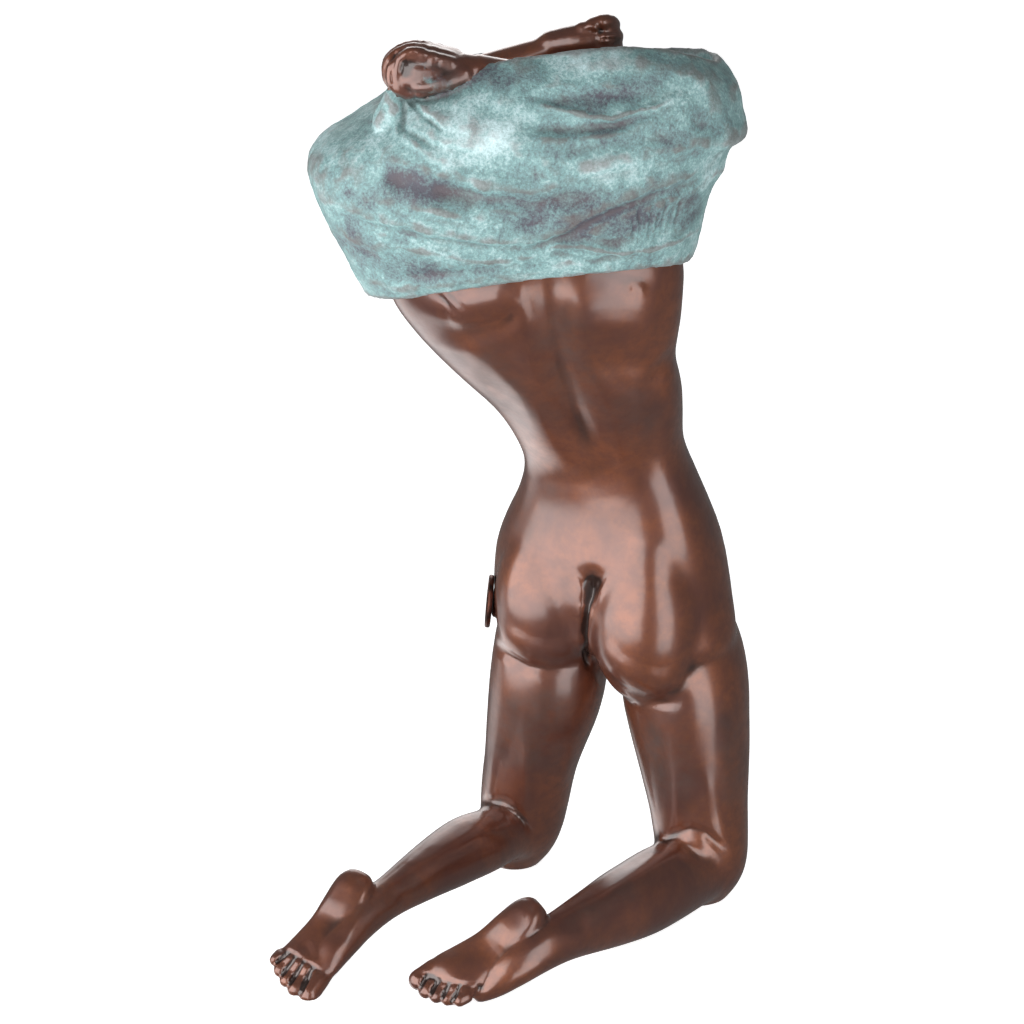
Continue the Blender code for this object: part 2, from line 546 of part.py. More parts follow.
def cut_rest_flats(mesh):
    """Grinds knees and toes flat on the ground plane."""
    bm = bmesh.new()
    bm.from_mesh(mesh)
    ground = Vector((0.0, 0.0, REST_FLAT_DEPTH / UNIT))
    everything = bm.verts[:] + bm.edges[:] + bm.faces[:]
    bmesh.ops.bisect_plane(bm, geom=everything, dist=0.01, plane_co=ground, plane_no=(0.0, 0.0, 1.0), clear_inner=True)
    rims = [edge for edge in bm.edges if edge.is_boundary]
    bmesh.ops.holes_fill(bm, edges=rims, sides=0)
    bmesh.ops.triangulate(bm, faces=[face for face in bm.faces if len(face.verts) > 3])
    bmesh.ops.translate(bm, verts=bm.verts, vec=-ground)
    bm.to_mesh(mesh)
    bm.free()


def into_place(mesh):
    """From the pose frame to real size, facing -Y, with the middle of the box over the origin."""
    to_middle = Matrix.Translation((-BOX_MIDDLE.x, -BOX_MIDDLE.y, 0.0))
    mesh.transform(Matrix.Scale(UNIT, 4) @ Matrix.Rotation(POSE_TURN, 4, "Z") @ to_middle)


def metal(name, colour, roughness, metallic):
    material = bpy.data.materials.new(name)
    material.use_nodes = True
    shader = material.node_tree.nodes["Principled BSDF"]
    shader.inputs["Base Color"].default_value = (*colour, 1.0)
    shader.inputs["Roughness"].default_value = roughness
    shader.inputs["Metallic"].default_value = metallic
    return material


def add_part(name, mesh, materials):
    """Wraps a finished mesh as a part. Its faces already hold their places in materials."""
    part = bpy.data.objects.new(name, mesh)
    mesh.name = name
    for material in materials:
        mesh.materials.append(material)
    mesh.shade_smooth()
    bpy.context.scene.collection.objects.link(part)
    return part


def build_figure(bronze, verdigris):
    core_bm = bmesh.new()
    model_core(core_bm)
    core = fused(core_bm, CORE_GRAIN, CORE_PASSES)
    whole = bmesh.new()
    whole.from_mesh(core)
    model_extremities(whole)
    model_seal_seat(whole)
    body = BVHTree.FromBMesh(whole)
    model_garment(whole)
    skin = fused(whole, SKIN_GRAIN, SKIN_PASSES)
    for looks, width, height, points in STROKES:
        stroke(skin, looks, width, height, points)
    skin = thinned(skin, FIGURE_TRIANGLES)
    dress_faces(skin, body)
    cut_rest_flats(skin)
    into_place(skin)
    return add_part("figure", skin, (bronze, verdigris))


def dress_faces(mesh, body):
    """Gives the second material to faces that lie on the garment and not on the body."""
    cloth_bm = bmesh.new()
    model_garment(cloth_bm)
    cloth = BVHTree.FromBMesh(cloth_bm)
    cloth_bm.free()
    for face in mesh.polygons:
        on_cloth = cloth.find_nearest(face.center)[3]
        on_body = body.find_nearest(face.center)[3]
        face.material_index = 1 if on_cloth < on_body else 0


def build_seal(bronze):
    """A plain disc with a raised rim and a bare face."""
    bm = bmesh.new()
    radius = SEAL_DIAMETER / UNIT / 2
    thick = (SEAL_THICKNESS - SEAL_RIM_HEIGHT) / UNIT
    made = bmesh.ops.create_cone(
        bm, cap_ends=True, segments=48, radius1=radius, radius2=radius, depth=thick
    )
    bmesh.ops.translate(bm, verts=made["verts"], vec=(0.0, 0.0, -SEAL_RIM_HEIGHT / UNIT / 2))
    face = max(bm.faces, key=lambda side: side.calc_center_median().z)
    bmesh.ops.inset_region(bm, faces=[face], thickness=SEAL_RIM_WIDTH / UNIT)
    rim = [side for side in bm.faces if side.normal.z > 0.9 and side is not face]
    grown = bmesh.ops.extrude_face_region(bm, geom=rim)
    raised = [part for part in grown["geom"] if isinstance(part, bmesh.types.BMVert)]
    bmesh.ops.translate(bm, verts=raised, vec=(0.0, 0.0, SEAL_RIM_HEIGHT / UNIT))
    bmesh.ops.delete(bm, geom=rim, context="FACES")
    bmesh.ops.recalc_face_normals(bm, faces=bm.faces)
    bmesh.ops.transform(bm, matrix=seal_axes(), verts=bm.verts)
    bmesh.ops.translate(bm, verts=bm.verts, vec=(0.0, 0.0, -REST_FLAT_DEPTH / UNIT))
    mesh = bpy.data.meshes.new("seal_disc")
    bm.to_mesh(mesh)
    bm.free()
    into_place(mesh)
    return add_part("seal_disc", mesh, (bronze,))


def main():
    for leftover in list(bpy.data.objects):
        bpy.data.objects.remove(leftover)
    bronze = metal("brown_bronze", (0.16, 0.065, 0.04), 0.32, 0.9)
    verdigris = metal("verdigris", (0.20, 0.38, 0.33), 0.55, 0.3)
    build_figure(bronze, verdigris)
    build_seal(bronze)


main()
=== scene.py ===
"""A bronze of a kneeling woman who draws a garment up over her head, with a founder's disc on her hip.

The skin is built up from the same forms as the part's solid, in the same pose frame, but is kept
finer: the garment's creases, the back's muscles, hair, fingers and toes are worked into it with
strokes. The pose frame is about 300 units high. X runs to the right of someone looking at her
back, Y runs away from them and Z is up.
"""

import math

import bmesh
import bpy
import numpy as np
from bpy.props import FloatProperty, FloatVectorProperty, IntProperty, PointerProperty
from bpy.types import Operator, Panel, PropertyGroup
from mathutils import Matrix, Vector, noise
from mathutils.bvhtree import BVHTree


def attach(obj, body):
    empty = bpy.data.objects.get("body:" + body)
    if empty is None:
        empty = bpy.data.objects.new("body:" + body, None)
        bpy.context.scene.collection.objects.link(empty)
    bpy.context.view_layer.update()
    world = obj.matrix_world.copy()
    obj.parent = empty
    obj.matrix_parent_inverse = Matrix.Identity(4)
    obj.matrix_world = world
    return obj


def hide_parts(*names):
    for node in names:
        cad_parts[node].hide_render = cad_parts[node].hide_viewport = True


bl_info = {
    "name": "Kneeling bronze",
    "version": (1, 0, 0),
    "blender": (4, 5, 0),
    "location": "3D View > Sidebar > Bronze",
    "description": "Models and finishes a kneeling bronze figure and the founder's disc on its hip",
    "category": "Add Mesh",
}

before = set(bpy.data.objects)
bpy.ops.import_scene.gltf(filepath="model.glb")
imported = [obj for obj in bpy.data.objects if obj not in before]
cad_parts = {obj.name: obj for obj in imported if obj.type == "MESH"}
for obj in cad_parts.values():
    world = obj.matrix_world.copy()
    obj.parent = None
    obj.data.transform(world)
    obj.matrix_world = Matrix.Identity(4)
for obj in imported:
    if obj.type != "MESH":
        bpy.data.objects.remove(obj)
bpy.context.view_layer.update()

# Driving sizes, in metres
FIGURE_HEIGHT = 0.300
GARMENT_WALL = 0.0022
OPENING_DEPTH = 0.016
REST_FLAT_DEPTH = 0.0022
SEAL_DIAMETER = 0.0175
SEAL_THICKNESS = 0.0016
SEAL_SEAT_DIAMETER = 0.0100
FIT_GAP = 0.0003

# The pose frame
POSE_HEIGHT = 299.0
UNIT = FIGURE_HEIGHT / POSE_HEIGHT
POSE_TURN = math.radians(212.0)
BOX_MIDDLE = Vector((3.6, 1.9))

# How finely the skin is fused, in pose units, and how often it is eased
CORE_GRAIN = 1.6
CORE_PASSES = 10
SKIN_PASSES = 5
RING_SIDES = 64
RING_STEPS = 3
# A stroke's first and last share, over which it comes to its full depth, and its depth at the tips
STROKE_RUN_IN = 0.3
STROKE_END = 0.25
# How fast a stroke comes to full strength as the skin turns towards it, and how far depth along the
# way it looks is left out of account
FACING_GAIN = 2.5
DEPTH_IGNORED = 0.7
# The viewer's half of the garment ends at this Y
NEAR_SIDE_END = 12.0
# Scales at which hollows are told from ridges: passes of easing, gain
HOLLOW_SCALES = ((6, 2.2), (40, 0.55))
# Soft unevenness of the garment: size, height
CLOTH_LUMPS = ((7.0, 0.45), (2.6, 0.20))

# The viewer: how far from the figure, how high above it, what they look at, and what of it a
# thousandth of the view's width shows there, all in the pose frame
VIEW_DISTANCE = 960.0
VIEW_HEIGHT = math.radians(21.0)
VIEW_AIM = Vector((0.0, 0.0, 148.5))
VIEW_MIDDLE = 512.0
VIEW_STEP = 0.309
VIEW_LENS = 109.22

# The studio's radius in metres, and the light that its backdrop gives off
STUDIO_RADIUS = 6.0
BACKDROP_GLOW = 1.2
# Parts of the white sweep that mirror in the bronze: turn from the viewer, height, and how far
# from there the glow is full and gone, all in degrees, and the brightness
SWEEPS = (
    (-132.0, -46.0, 8.0, 28.0, 1.5),
    (-114.0, -20.0, 4.0, 14.0, 0.7),
    (-176.0, 8.0, 6.0, 22.0, 1.2),
)

# How high the softboxes aim, in metres
SOFTBOX_AIM = 0.14
# Softboxes: name, turn from the viewer and height in degrees, distance, size, brightness
SOFTBOXES = (
    ("left", -54.0, 8.0, 0.6, (1.30, 0.86), 2.5),
    ("right", 39.0, 3.0, 0.6, (0.34, 0.86), 2.1),
    ("front", 178.0, 26.0, 1.1, (0.7, 0.5), 1.3),
)

# Trunk, from the groin up: x, y, z, turn in degrees, half-width, depth behind, depth before
TRUNK = (
    (34.2, 41.0, 87.0, 34.0, 22.0, 12.0, 14.0),
    (34.0, 41.0, 90.5, 34.0, 37.0, 19.0, 19.0),
    (33.6, 41.5, 95.0, 34.0, 43.0, 24.0, 22.0),
    (33.4, 42.0, 102.0, 34.0, 43.0, 26.0, 23.5),
    (32.8, 42.0, 110.0, 33.0, 41.5, 27.0, 25.0),
    (32.4, 42.0, 120.0, 32.0, 39.5, 26.5, 26.0),
    (32.5, 40.0, 130.5, 30.0, 36.0, 23.5, 25.5),
    (32.5, 37.0, 141.0, 28.0, 31.6, 20.5, 23.0),
    (31.0, 34.0, 152.0, 24.0, 28.0, 18.5, 21.0),
    (27.2, 30.0, 163.0, 20.0, 27.4, 18.5, 21.0),
    (23.8, 25.0, 174.0, 15.0, 30.0, 19.5, 22.5),
    (18.8, 19.0, 185.0, 10.0, 34.0, 20.5, 24.5),
    (13.2, 14.0, 196.0, 6.0, 37.2, 21.5, 26.5),
    (10.0, 9.0, 206.5, 3.0, 41.2, 22.0, 27.0),
    (7.6, 5.0, 217.0, 0.0, 44.2, 22.0, 27.0),
    (6.5, 3.0, 229.0, 0.0, 45.0, 21.0, 26.0),
    (8.0, 3.0, 244.0, 0.0, 38.0, 17.0, 21.0),
)
TRUNK_SQUARENESS = 2.25

# Limbs, each station x, y, z, half-width, half-depth
LEFT_THIGH = (
    (16.6, 46.0, 100.0, 18.5, 20.0),
    (13.4, 44.5, 87.0, 18.2, 20.5),
    (12.2, 44.0, 75.0, 18.9, 20.5),
    (10.6, 45.0, 64.0, 18.4, 19.6),
    (8.4, 46.0, 53.0, 16.8, 18.2),
    (6.4, 47.2, 42.0, 15.3, 16.8),
    (4.8, 48.4, 31.0, 15.0, 15.8),
    (3.6, 49.5, 20.0, 14.4, 14.4),
    (2.9, 50.8, 13.0, 12.8, 12.8),
    (1.2, 51.4, 6.0, 10.2, 10.6),
    (-0.2, 51.6, -0.8, 6.6, 7.6),
)
RIGHT_THIGH = (
    (50.0, 33.0, 100.0, 19.0, 21.0),
    (55.4, 31.0, 87.0, 19.4, 21.6),
    (56.6, 30.0, 76.0, 20.6, 21.4),
    (58.0, 29.6, 65.0, 19.8, 20.4),
    (59.4, 29.2, 55.0, 18.7, 19.4),
    (60.6, 28.6, 45.0, 17.4, 18.2),
    (61.7, 27.8, 35.0, 16.1, 17.0),
    (62.6, 26.8, 25.0, 15.7, 15.9),
    (63.2, 26.4, 15.5, 15.0, 14.8),
    (62.6, 26.8, 7.0, 12.0, 12.2),
    (61.8, 27.0, -0.8, 7.0, 8.2),
)
LEFT_SHIN = (
    (4.5, 49.6, 13.4, 10.4, 9.6),
    (-3.0, 39.6, 17.4, 10.6, 9.2),
    (-10.4, 30.0, 19.2, 11.4, 10.4),
    (-15.6, 23.6, 19.9, 11.2, 10.6),
    (-21.7, 15.8, 19.9, 10.2, 10.0),
    (-27.7, 8.2, 19.7, 8.9, 9.1),
    (-33.4, 1.0, 19.2, 7.6, 8.2),
    (-38.6, -5.6, 18.6, 6.8, 7.2),
    (-43.4, -12.0, 18.0, 6.6, 6.8),
    (-49.4, -19.6, 15.4, 6.2, 6.2),
    (-56.4, -28.4, 10.6, 6.2, 5.2),
    (-61.4, -35.0, 6.2, 5.6, 3.8),
)
RIGHT_SHIN = (
    (63.2, 24.8, 14.2, 12.4, 11.4),
    (55.5, 15.6, 14.6, 12.6, 12.4),
    (48.5, 7.2, 15.2, 13.0, 13.0),
    (41.7, -0.8, 15.2, 12.8, 12.8),
    (34.9, -8.6, 15.8, 11.8, 12.2),
    (28.2, -16.4, 16.4, 10.2, 11.1),
    (21.7, -23.8, 17.0, 8.8, 9.8),
    (15.4, -31.0, 17.4, 7.8, 8.6),
    (8.4, -37.4, 16.6, 7.4, 8.0),
    (0.4, -42.4, 13.2, 7.2, 6.8),
    (-6.6, -44.4, 8.8, 6.8, 5.4),
    (-12.6, -44.6, 5.4, 6.2, 3.8),
)
LEG_BACK = Vector((-0.62, -0.78, 0.0))
SHIN_BACK = Vector((0.0, 0.0, 1.0))

# Fuller forms fused onto the core: middle, radii across, deep and high, turn in degrees
BODY_FORMS = (
    ((12.6, 39.4, 103.5), (18.4, 18.8, 27.5), 34.0),
    ((43.8, 21.0, 103.0), (18.4, 19.4, 28.0), 34.0),
    ((44.0, 24.0, 116.0), (16.0, 17.4, 25.0), 34.0),
    ((38.0, 54.0, 122.0), (21.0, 13.0, 24.0), 32.0),
    ((-7.5, 29.5, 196.0), (14.0, 15.0, 14.5), 8.0),
    ((29.5, 33.0, 197.0), (14.0, 15.0, 14.5), 4.0),
    ((-6.0, 31.5, 193.0), (10.5, 16.5, 10.5), 8.0),
    ((31.0, 35.5, 194.0), (10.5, 16.5, 10.5), 4.0),
)
UPPER_ARMS = (
    ((-32.0, 4.0, 236.0, 10.0, 10.0), (-41.0, 7.0, 247.0, 9.0, 9.0), (-45.0, 8.0, 256.0, 7.5, 7.5)),
    ((43.0, 4.0, 238.0, 10.0, 10.0), (48.0, 7.0, 251.0, 8.5, 9.0), (52.0, 8.0, 262.0, 7.5, 8.0)),
)

# Feet: heel middle, way to the toes, way the sole faces, and which way the big toe lies (-1 or 1)
LEFT_FOOT = (Vector((-50.6, -12.0, 24.6)), Vector((-0.47, -0.66, -0.54)), Vector((-0.15, -0.55, 0.80)), 1)
RIGHT_FOOT = (Vector((4.6, -34.0, 26.2)), Vector((-0.80, -0.37, -0.54)), Vector((-0.30, -0.45, 0.80)), -1)
# Along the foot, half-width, sole side, instep side
FOOT_RINGS = (
    (-5.6, 2.8, 1.6, 3.4),
    (-4.0, 5.0, 3.2, 6.6),
    (0.0, 6.6, 4.2, 10.4),
    (7.5, 6.8, 3.8, 11.6),
    (15.0, 7.0, 2.2, 10.4),
    (22.5, 8.4, 2.6, 8.2),
    (29.5, 9.8, 3.8, 6.0),
    (33.5, 9.6, 3.2, 4.2),
    (35.5, 8.2, 1.8, 2.6),
)
# Toes from the big one: place across, root, tip, radius
TOES = (
    (-6.6, 32.5, 42.0, 3.5),
    (-1.7, 33.5, 41.6, 2.6),
    (2.4, 33.0, 40.0, 2.4),
    (6.0, 32.0, 37.8, 2.3),
    (9.2, 30.5, 35.2, 2.2),
)
TOE_LIFT = 0.9
FOOT_SQUARENESS = 2.3

# Garment, from the hem up: left x, left z, right x, right z, near y, near z, far y, far z
GARMENT = (
    (-44.0, 220.6, 54.4, 231.6, -33.0, 232.5, 37.0, 209.0),
    (-47.4, 227.0, 55.8, 236.5, -35.5, 238.0, 40.0, 216.0),
    (-52.6, 237.0, 57.4, 245.0, -38.0, 246.0, 43.0, 228.0),
    (-57.8, 248.5, 60.0, 253.5, -39.5, 255.0, 44.5, 241.0),
    (-60.8, 258.0, 64.2, 261.0, -39.5, 265.0, 44.5, 254.0),
    (-58.0, 265.0, 68.2, 267.6, -38.0, 275.0, 42.5, 264.0),
    (-48.6, 271.0, 68.0, 276.4, -35.0, 285.0, 38.5, 273.0),
    (-40.6, 276.6, 66.0, 284.0, -30.5, 292.6, 33.0, 281.0),
    (-34.0, 282.0, 61.2, 290.4, -25.0, 297.4, 27.5, 287.0),
)
GARMENT_SQUARENESS = 2.5
NEAR_SLOPE = 0.11
HEM_TURN_IN = 9.0
HEM_TURN_UP = 4.0
HEM_LIP = 0.6
MOUTH_LEAN = 2.0

# Inside the opening: forearms that cross, and the crown of the head between them
FOREARMS = (
    ((-45.0, 9.0, 261.0, 6.8, 6.8), (-24.0, 13.0, 276.6, 6.8, 6.8), (-8.0, 14.0, 283.5, 5.6, 5.4),
        (11.0, 14.0, 290.0, 4.6, 4.2)),
    ((57.0, 7.0, 272.0, 7.5, 7.5), (32.0, -5.0, 279.0, 7.2, 7.0), (10.0, -14.0, 286.0, 5.6, 5.4),
        (-11.0, -19.5, 292.0, 4.8, 4.4)),
)
CROWN = ((14.0, 6.0, 262.0), (15.5, 18.0, 19.0), 10.0)
# Locks of hair on the crown: how many, width, height, drops down its side, turn on the way
LOCKS = 22
LOCK_WIDTH = 1.3
LOCK_HEIGHT = -0.7
LOCK_DROPS = (0.15, 0.5, 0.85, 1.2)
LOCK_TWIST = 0.35

# Hands as chains of round joints x, y, z, radius
NEAR_HAND = (
    ((-9.0, -19.5, 290.8, 3.9), (-17.0, -18.5, 293.2, 4.4), (-23.0, -18.0, 294.8, 4.4)),
    ((-18.0, -24.0, 294.0, 3.0), (-28.0, -24.6, 297.0, 2.6), (-33.0, -24.6, 294.0, 2.4),
        (-33.6, -24.4, 289.0, 2.3), (-29.6, -24.0, 286.2, 2.2)),
    ((-18.0, -20.6, 294.6, 3.2), (-28.0, -20.6, 297.6, 2.6), (-34.2, -20.6, 294.6, 2.4),
        (-35.0, -20.6, 289.6, 2.3), (-31.0, -20.6, 286.0, 2.2)),
    ((-17.0, -16.6, 294.6, 3.2), (-28.0, -16.6, 297.4, 2.6), (-34.4, -16.8, 294.4, 2.4),
        (-35.2, -16.8, 289.6, 2.3), (-31.4, -17.0, 286.0, 2.2)),
    ((-17.0, -12.8, 294.0, 3.0), (-27.0, -12.8, 296.6, 2.6), (-33.4, -13.0, 293.6, 2.4),
        (-34.4, -13.2, 289.0, 2.3), (-30.6, -13.4, 286.0, 2.2)),
    ((-14.0, -24.0, 291.6, 3.2), (-20.0, -25.4, 289.6, 2.9), (-26.0, -25.8, 287.4, 2.6)),
    ((-21.0, -18.5, 291.5, 4.0), (-27.0, -18.5, 291.5, 4.2)),
)
FAR_HAND = (
    ((10.0, 14.0, 290.4, 4.4), (17.0, 14.0, 292.6, 4.8), (24.0, 14.4, 293.8, 4.6)),
    ((16.0, 12.6, 294.0, 2.8), (26.4, 12.4, 298.6, 2.6), (30.0, 17.0, 297.0, 2.4),
        (28.0, 22.0, 294.0, 2.2)),
    ((17.0, 12.0, 292.2, 2.8), (27.4, 11.6, 294.2, 2.6), (31.0, 16.4, 293.6, 2.4),
        (28.6, 21.6, 291.0, 2.2)),
    ((17.0, 12.0, 290.4, 2.8), (27.4, 11.8, 291.2, 2.5), (31.0, 16.4, 290.4, 2.3),
        (28.4, 21.4, 288.4, 2.1)),
    ((16.0, 12.6, 288.6, 2.8), (26.4, 12.6, 288.2, 2.4), (29.8, 16.8, 287.2, 2.2),
        (27.4, 21.2, 286.0, 2.0)),
)

# Cloth drawn up into the near fist
PINCHED_CLOTH = ((-35.0, -19.0, 276.0, 6.0), (-32.6, -19.5, 283.0, 4.4), (-29.6, -20.0, 288.5, 3.4))

# The disc on the left hip: its middle and the way its face looks
SEAL_MIDDLE = Vector((-7.4, 46.0, 99.5))
SEAL_FACE = Vector((-0.995, 0.0, 0.10))
SEAL_SEAT_ROOT = 12.0
# Its easings, in pose units, and its pins: share of the radius out, radius, height
SEAL_BACK_EDGE = 0.35
SEAL_FACE_EDGE = 0.3
SEAL_RIM_SLOPE = 0.25
SEAL_DISH = 0.42
SEAL_PIN_PLACE = 0.55
SEAL_PIN_RADIUS = 0.5
SEAL_PIN_HEIGHT = 0.2

# Strokes that the viewer sees: width in view steps, height in pose units, then their points in
# the view, where X runs right and Y runs down from its top left corner
CLOTH_STROKES = (
    # From the fist: the pinched ridges and the creases between them
    (9.0, 0.8, ((388, 88), (395, 110), (400, 140))),
    (4.0, -0.8, ((405, 97), (404, 116), (400, 140))),
    (4.0, -0.7, ((405, 96), (420, 112), (444, 132))),
    (10.0, 0.6, ((410, 98), (432, 114), (458, 126))),
    (6.0, -0.6, ((383, 92), (374, 112), (358, 134))),
    (12.0, 0.5, ((374, 98), (350, 118), (326, 140))),
    (10.0, -0.9, ((396, 97), (428, 98), (468, 90))),
    (8.0, 0.5, ((398, 130), (424, 152), (462, 172))),
    (6.0, -0.4, ((404, 128), (434, 146), (476, 156))),
    # The full bulge over the near elbow and the deep hollow under it
    (34.0, 1.4, ((426, 126), (490, 142), (560, 158), (640, 162))),
    (20.0, -1.8, ((380, 174), (410, 182), (446, 192), (484, 200))),
    (13.0, -0.9, ((430, 190), (480, 199), (530, 205), (590, 196))),
    (14.0, 0.6, ((430, 176), (486, 184), (530, 190), (590, 180))),
    (14.0, -0.5, ((480, 222), (515, 226), (556, 222))),
    (9.0, 0.5, ((360, 196), (400, 208), (460, 216))),
    (8.0, -0.4, ((400, 212), (440, 222), (480, 230))),
    (9.0, 0.4, ((440, 214), (480, 222), (524, 228))),
    # The right half: two long hollows with a ridge between
    (14.0, -1.1, ((530, 100), (572, 97), (606, 98), (652, 96))),
    (6.0, 0.8, ((536, 104), (590, 116), (612, 119), (634, 113), (656, 107), (682, 94))),
    (9.0, -0.9, ((536, 128), (590, 128), (622, 124), (650, 112))),
    (8.0, 0.5, ((520, 140), (580, 140), (630, 132))),
    (12.0, -0.5, ((640, 134), (664, 139), (690, 138))),
    (20.0, 0.8, ((680, 64), (706, 84), (722, 116))),
    (18.0, -0.6, ((694, 112), (714, 130), (724, 152))),
    (20.0, 0.6, ((580, 60), (640, 62), (696, 70))),
    (22.0, -0.5, ((590, 82), (650, 84), (696, 100))),
    (14.0, 0.5, ((550, 168), (610, 160), (660, 150), (710, 138))),
    (10.0, -0.5, ((560, 182), (620, 176), (664, 164), (710, 150))),
    # The lap's lower edge, then the folds under it
    (7.0, -0.9, ((330, 208), (366, 224), (426, 239), (480, 248), (530, 250), (566, 237), (600, 218),
        (640, 202), (690, 183), (742, 150))),
    (14.0, 0.7, ((330, 198), (391, 220), (440, 230), (500, 238), (545, 234), (580, 216), (624, 196),
        (668, 182), (730, 150))),
    (5.0, -0.35, ((380, 238), (430, 248), (470, 254), (520, 258))),
    (6.0, 0.35, ((380, 244), (432, 252), (468, 259), (510, 262))),
    (7.0, 0.4, ((640, 212), (690, 194), (720, 172))),
    (5.0, -0.5, ((722, 176), (710, 198), (697, 220))),
    (6.0, 0.5, ((728, 172), (716, 196), (706, 214))),
    (8.0, -0.5, ((332, 236), (352, 248), (380, 258))),
    (10.0, 0.5, ((330, 224), (352, 238), (384, 248))),
    (18.0, -0.6, ((360, 258), (402, 272), (450, 270))),
    (14.0, 0.5, ((430, 262), (480, 266), (536, 262))),
    (8.0, 0.4, ((530, 262), (560, 262), (590, 256))),
    # Hem: a roll, sharper at the right
    (7.0, 0.6, ((354, 276), (394, 289), (434, 286), (478, 279), (520, 275), (566, 268))),
    (7.0, -0.5, ((358, 266), (398, 279), (436, 276), (478, 269), (524, 265), (566, 256))),
    (4.5, 0.8, ((548, 246), (581, 246), (605, 251), (621, 253), (655, 248), (680, 239), (704, 226))),
    (5.0, -0.7, ((552, 254), (580, 259), (596, 262), (618, 256))),
    (6.0, -0.6, ((552, 238), (585, 238), (612, 243), (650, 239), (682, 228))),
)
# Rows of shallow strokes near the hem, that are no letters
MARK_STROKES = (
    (3.0, -0.5, ((632, 218), (635, 230), (633, 243))),
    (3.0, -0.5, ((639, 210), (641, 226), (638, 242))),
    (3.0, -0.45, ((646, 215), (645, 229), (642, 241))),
    (3.0, -0.55, ((654, 204), (651, 222), (649, 240))),
    (3.0, -0.45, ((660, 210), (658, 225), (655, 239))),
    (3.0, -0.5, ((668, 199), (664, 217), (661, 236))),
    (3.0, -0.4, ((675, 206), (671, 221), (667, 234))),
    (3.0, -0.4, ((682, 201), (678, 216), (674, 230))),
)
BACK_STROKES = (
    # Spine, from between the shoulders to the small of the back, and the long muscles beside it
    (34.0, -1.4, ((550, 262), (551, 300), (553, 336), (562, 376), (574, 412), (588, 443), (604, 480))),
    (14.0, -0.4, ((549, 280), (552, 326), (562, 372), (574, 412), (590, 450))),
    (28.0, 0.3, ((570, 300), (580, 345), (590, 378), (602, 412), (616, 450))),
    (24.0, 0.5, ((524, 320), (534, 366), (546, 408), (562, 450))),
    # Left shoulder blade: a flat facet with a lower edge, and its inner border
    (28.0, 1.4, ((446, 312), (478, 303), (516, 292))),
    (16.0, -0.9, ((424, 328), (462, 337), (498, 328), (522, 308))),
    (12.0, 0.45, ((514, 284), (518, 302), (523, 326))),
    (5.0, -0.4, ((436, 293), (446, 301), (458, 314))),
    (5.0, -0.3, ((446, 291), (456, 299), (466, 309))),
    # Right shoulder blade: a ledge with a hollow over it
    (22.0, 0.5, ((556, 304), (576, 298), (604, 294), (636, 295), (668, 302))),
    (20.0, -0.3, ((586, 276), (620, 276), (656, 278))),
    (7.0, 0.4, ((629, 288), (637, 287), (645, 289))),
    (30.0, 0.8, ((570, 314), (612, 318), (660, 312))),
    (20.0, -0.7, ((582, 362), (616, 360), (650, 362))),
    # Flanks
    (12.0, -0.8, ((686, 348), (670, 360), (652, 380))),
    (20.0, 0.6, ((592, 384), (624, 404), (646, 440))),
    (18.0, -0.6, ((650, 372), (657, 410), (652, 450))),
    (22.0, 0.9, ((410, 334), (468, 354), (512, 386), (532, 424), (544, 462))),
    (16.0, -0.6, ((436, 344), (480, 370), (508, 400), (524, 440))),
    # Over the hips
    (22.0, -0.5, ((514, 454), (552, 470), (590, 474), (650, 462))),
)
HIP_STROKES = (
    # The pit above the cleft, the cleft and the folds under the buttocks
    (26.0, -1.5, ((580, 588), (590, 584), (600, 590))),
    (11.0, -1.6, ((592, 576), (590, 590), (586, 608))),
    (5.0, -2.4, ((588, 584), (585, 610), (583, 634), (585, 652), (588, 666))),
    (9.0, -0.8, ((488, 638), (508, 656), (527, 667), (548, 671), (572, 669))),
    (16.0, 0.9, ((486, 620), (506, 638), (528, 650), (550, 654), (580, 646))),
    (9.0, -0.8, ((594, 666), (606, 680), (622, 690), (644, 700), (676, 704))),
    (16.0, 0.9, ((598, 646), (614, 664), (634, 676), (656, 682), (684, 680))),
)
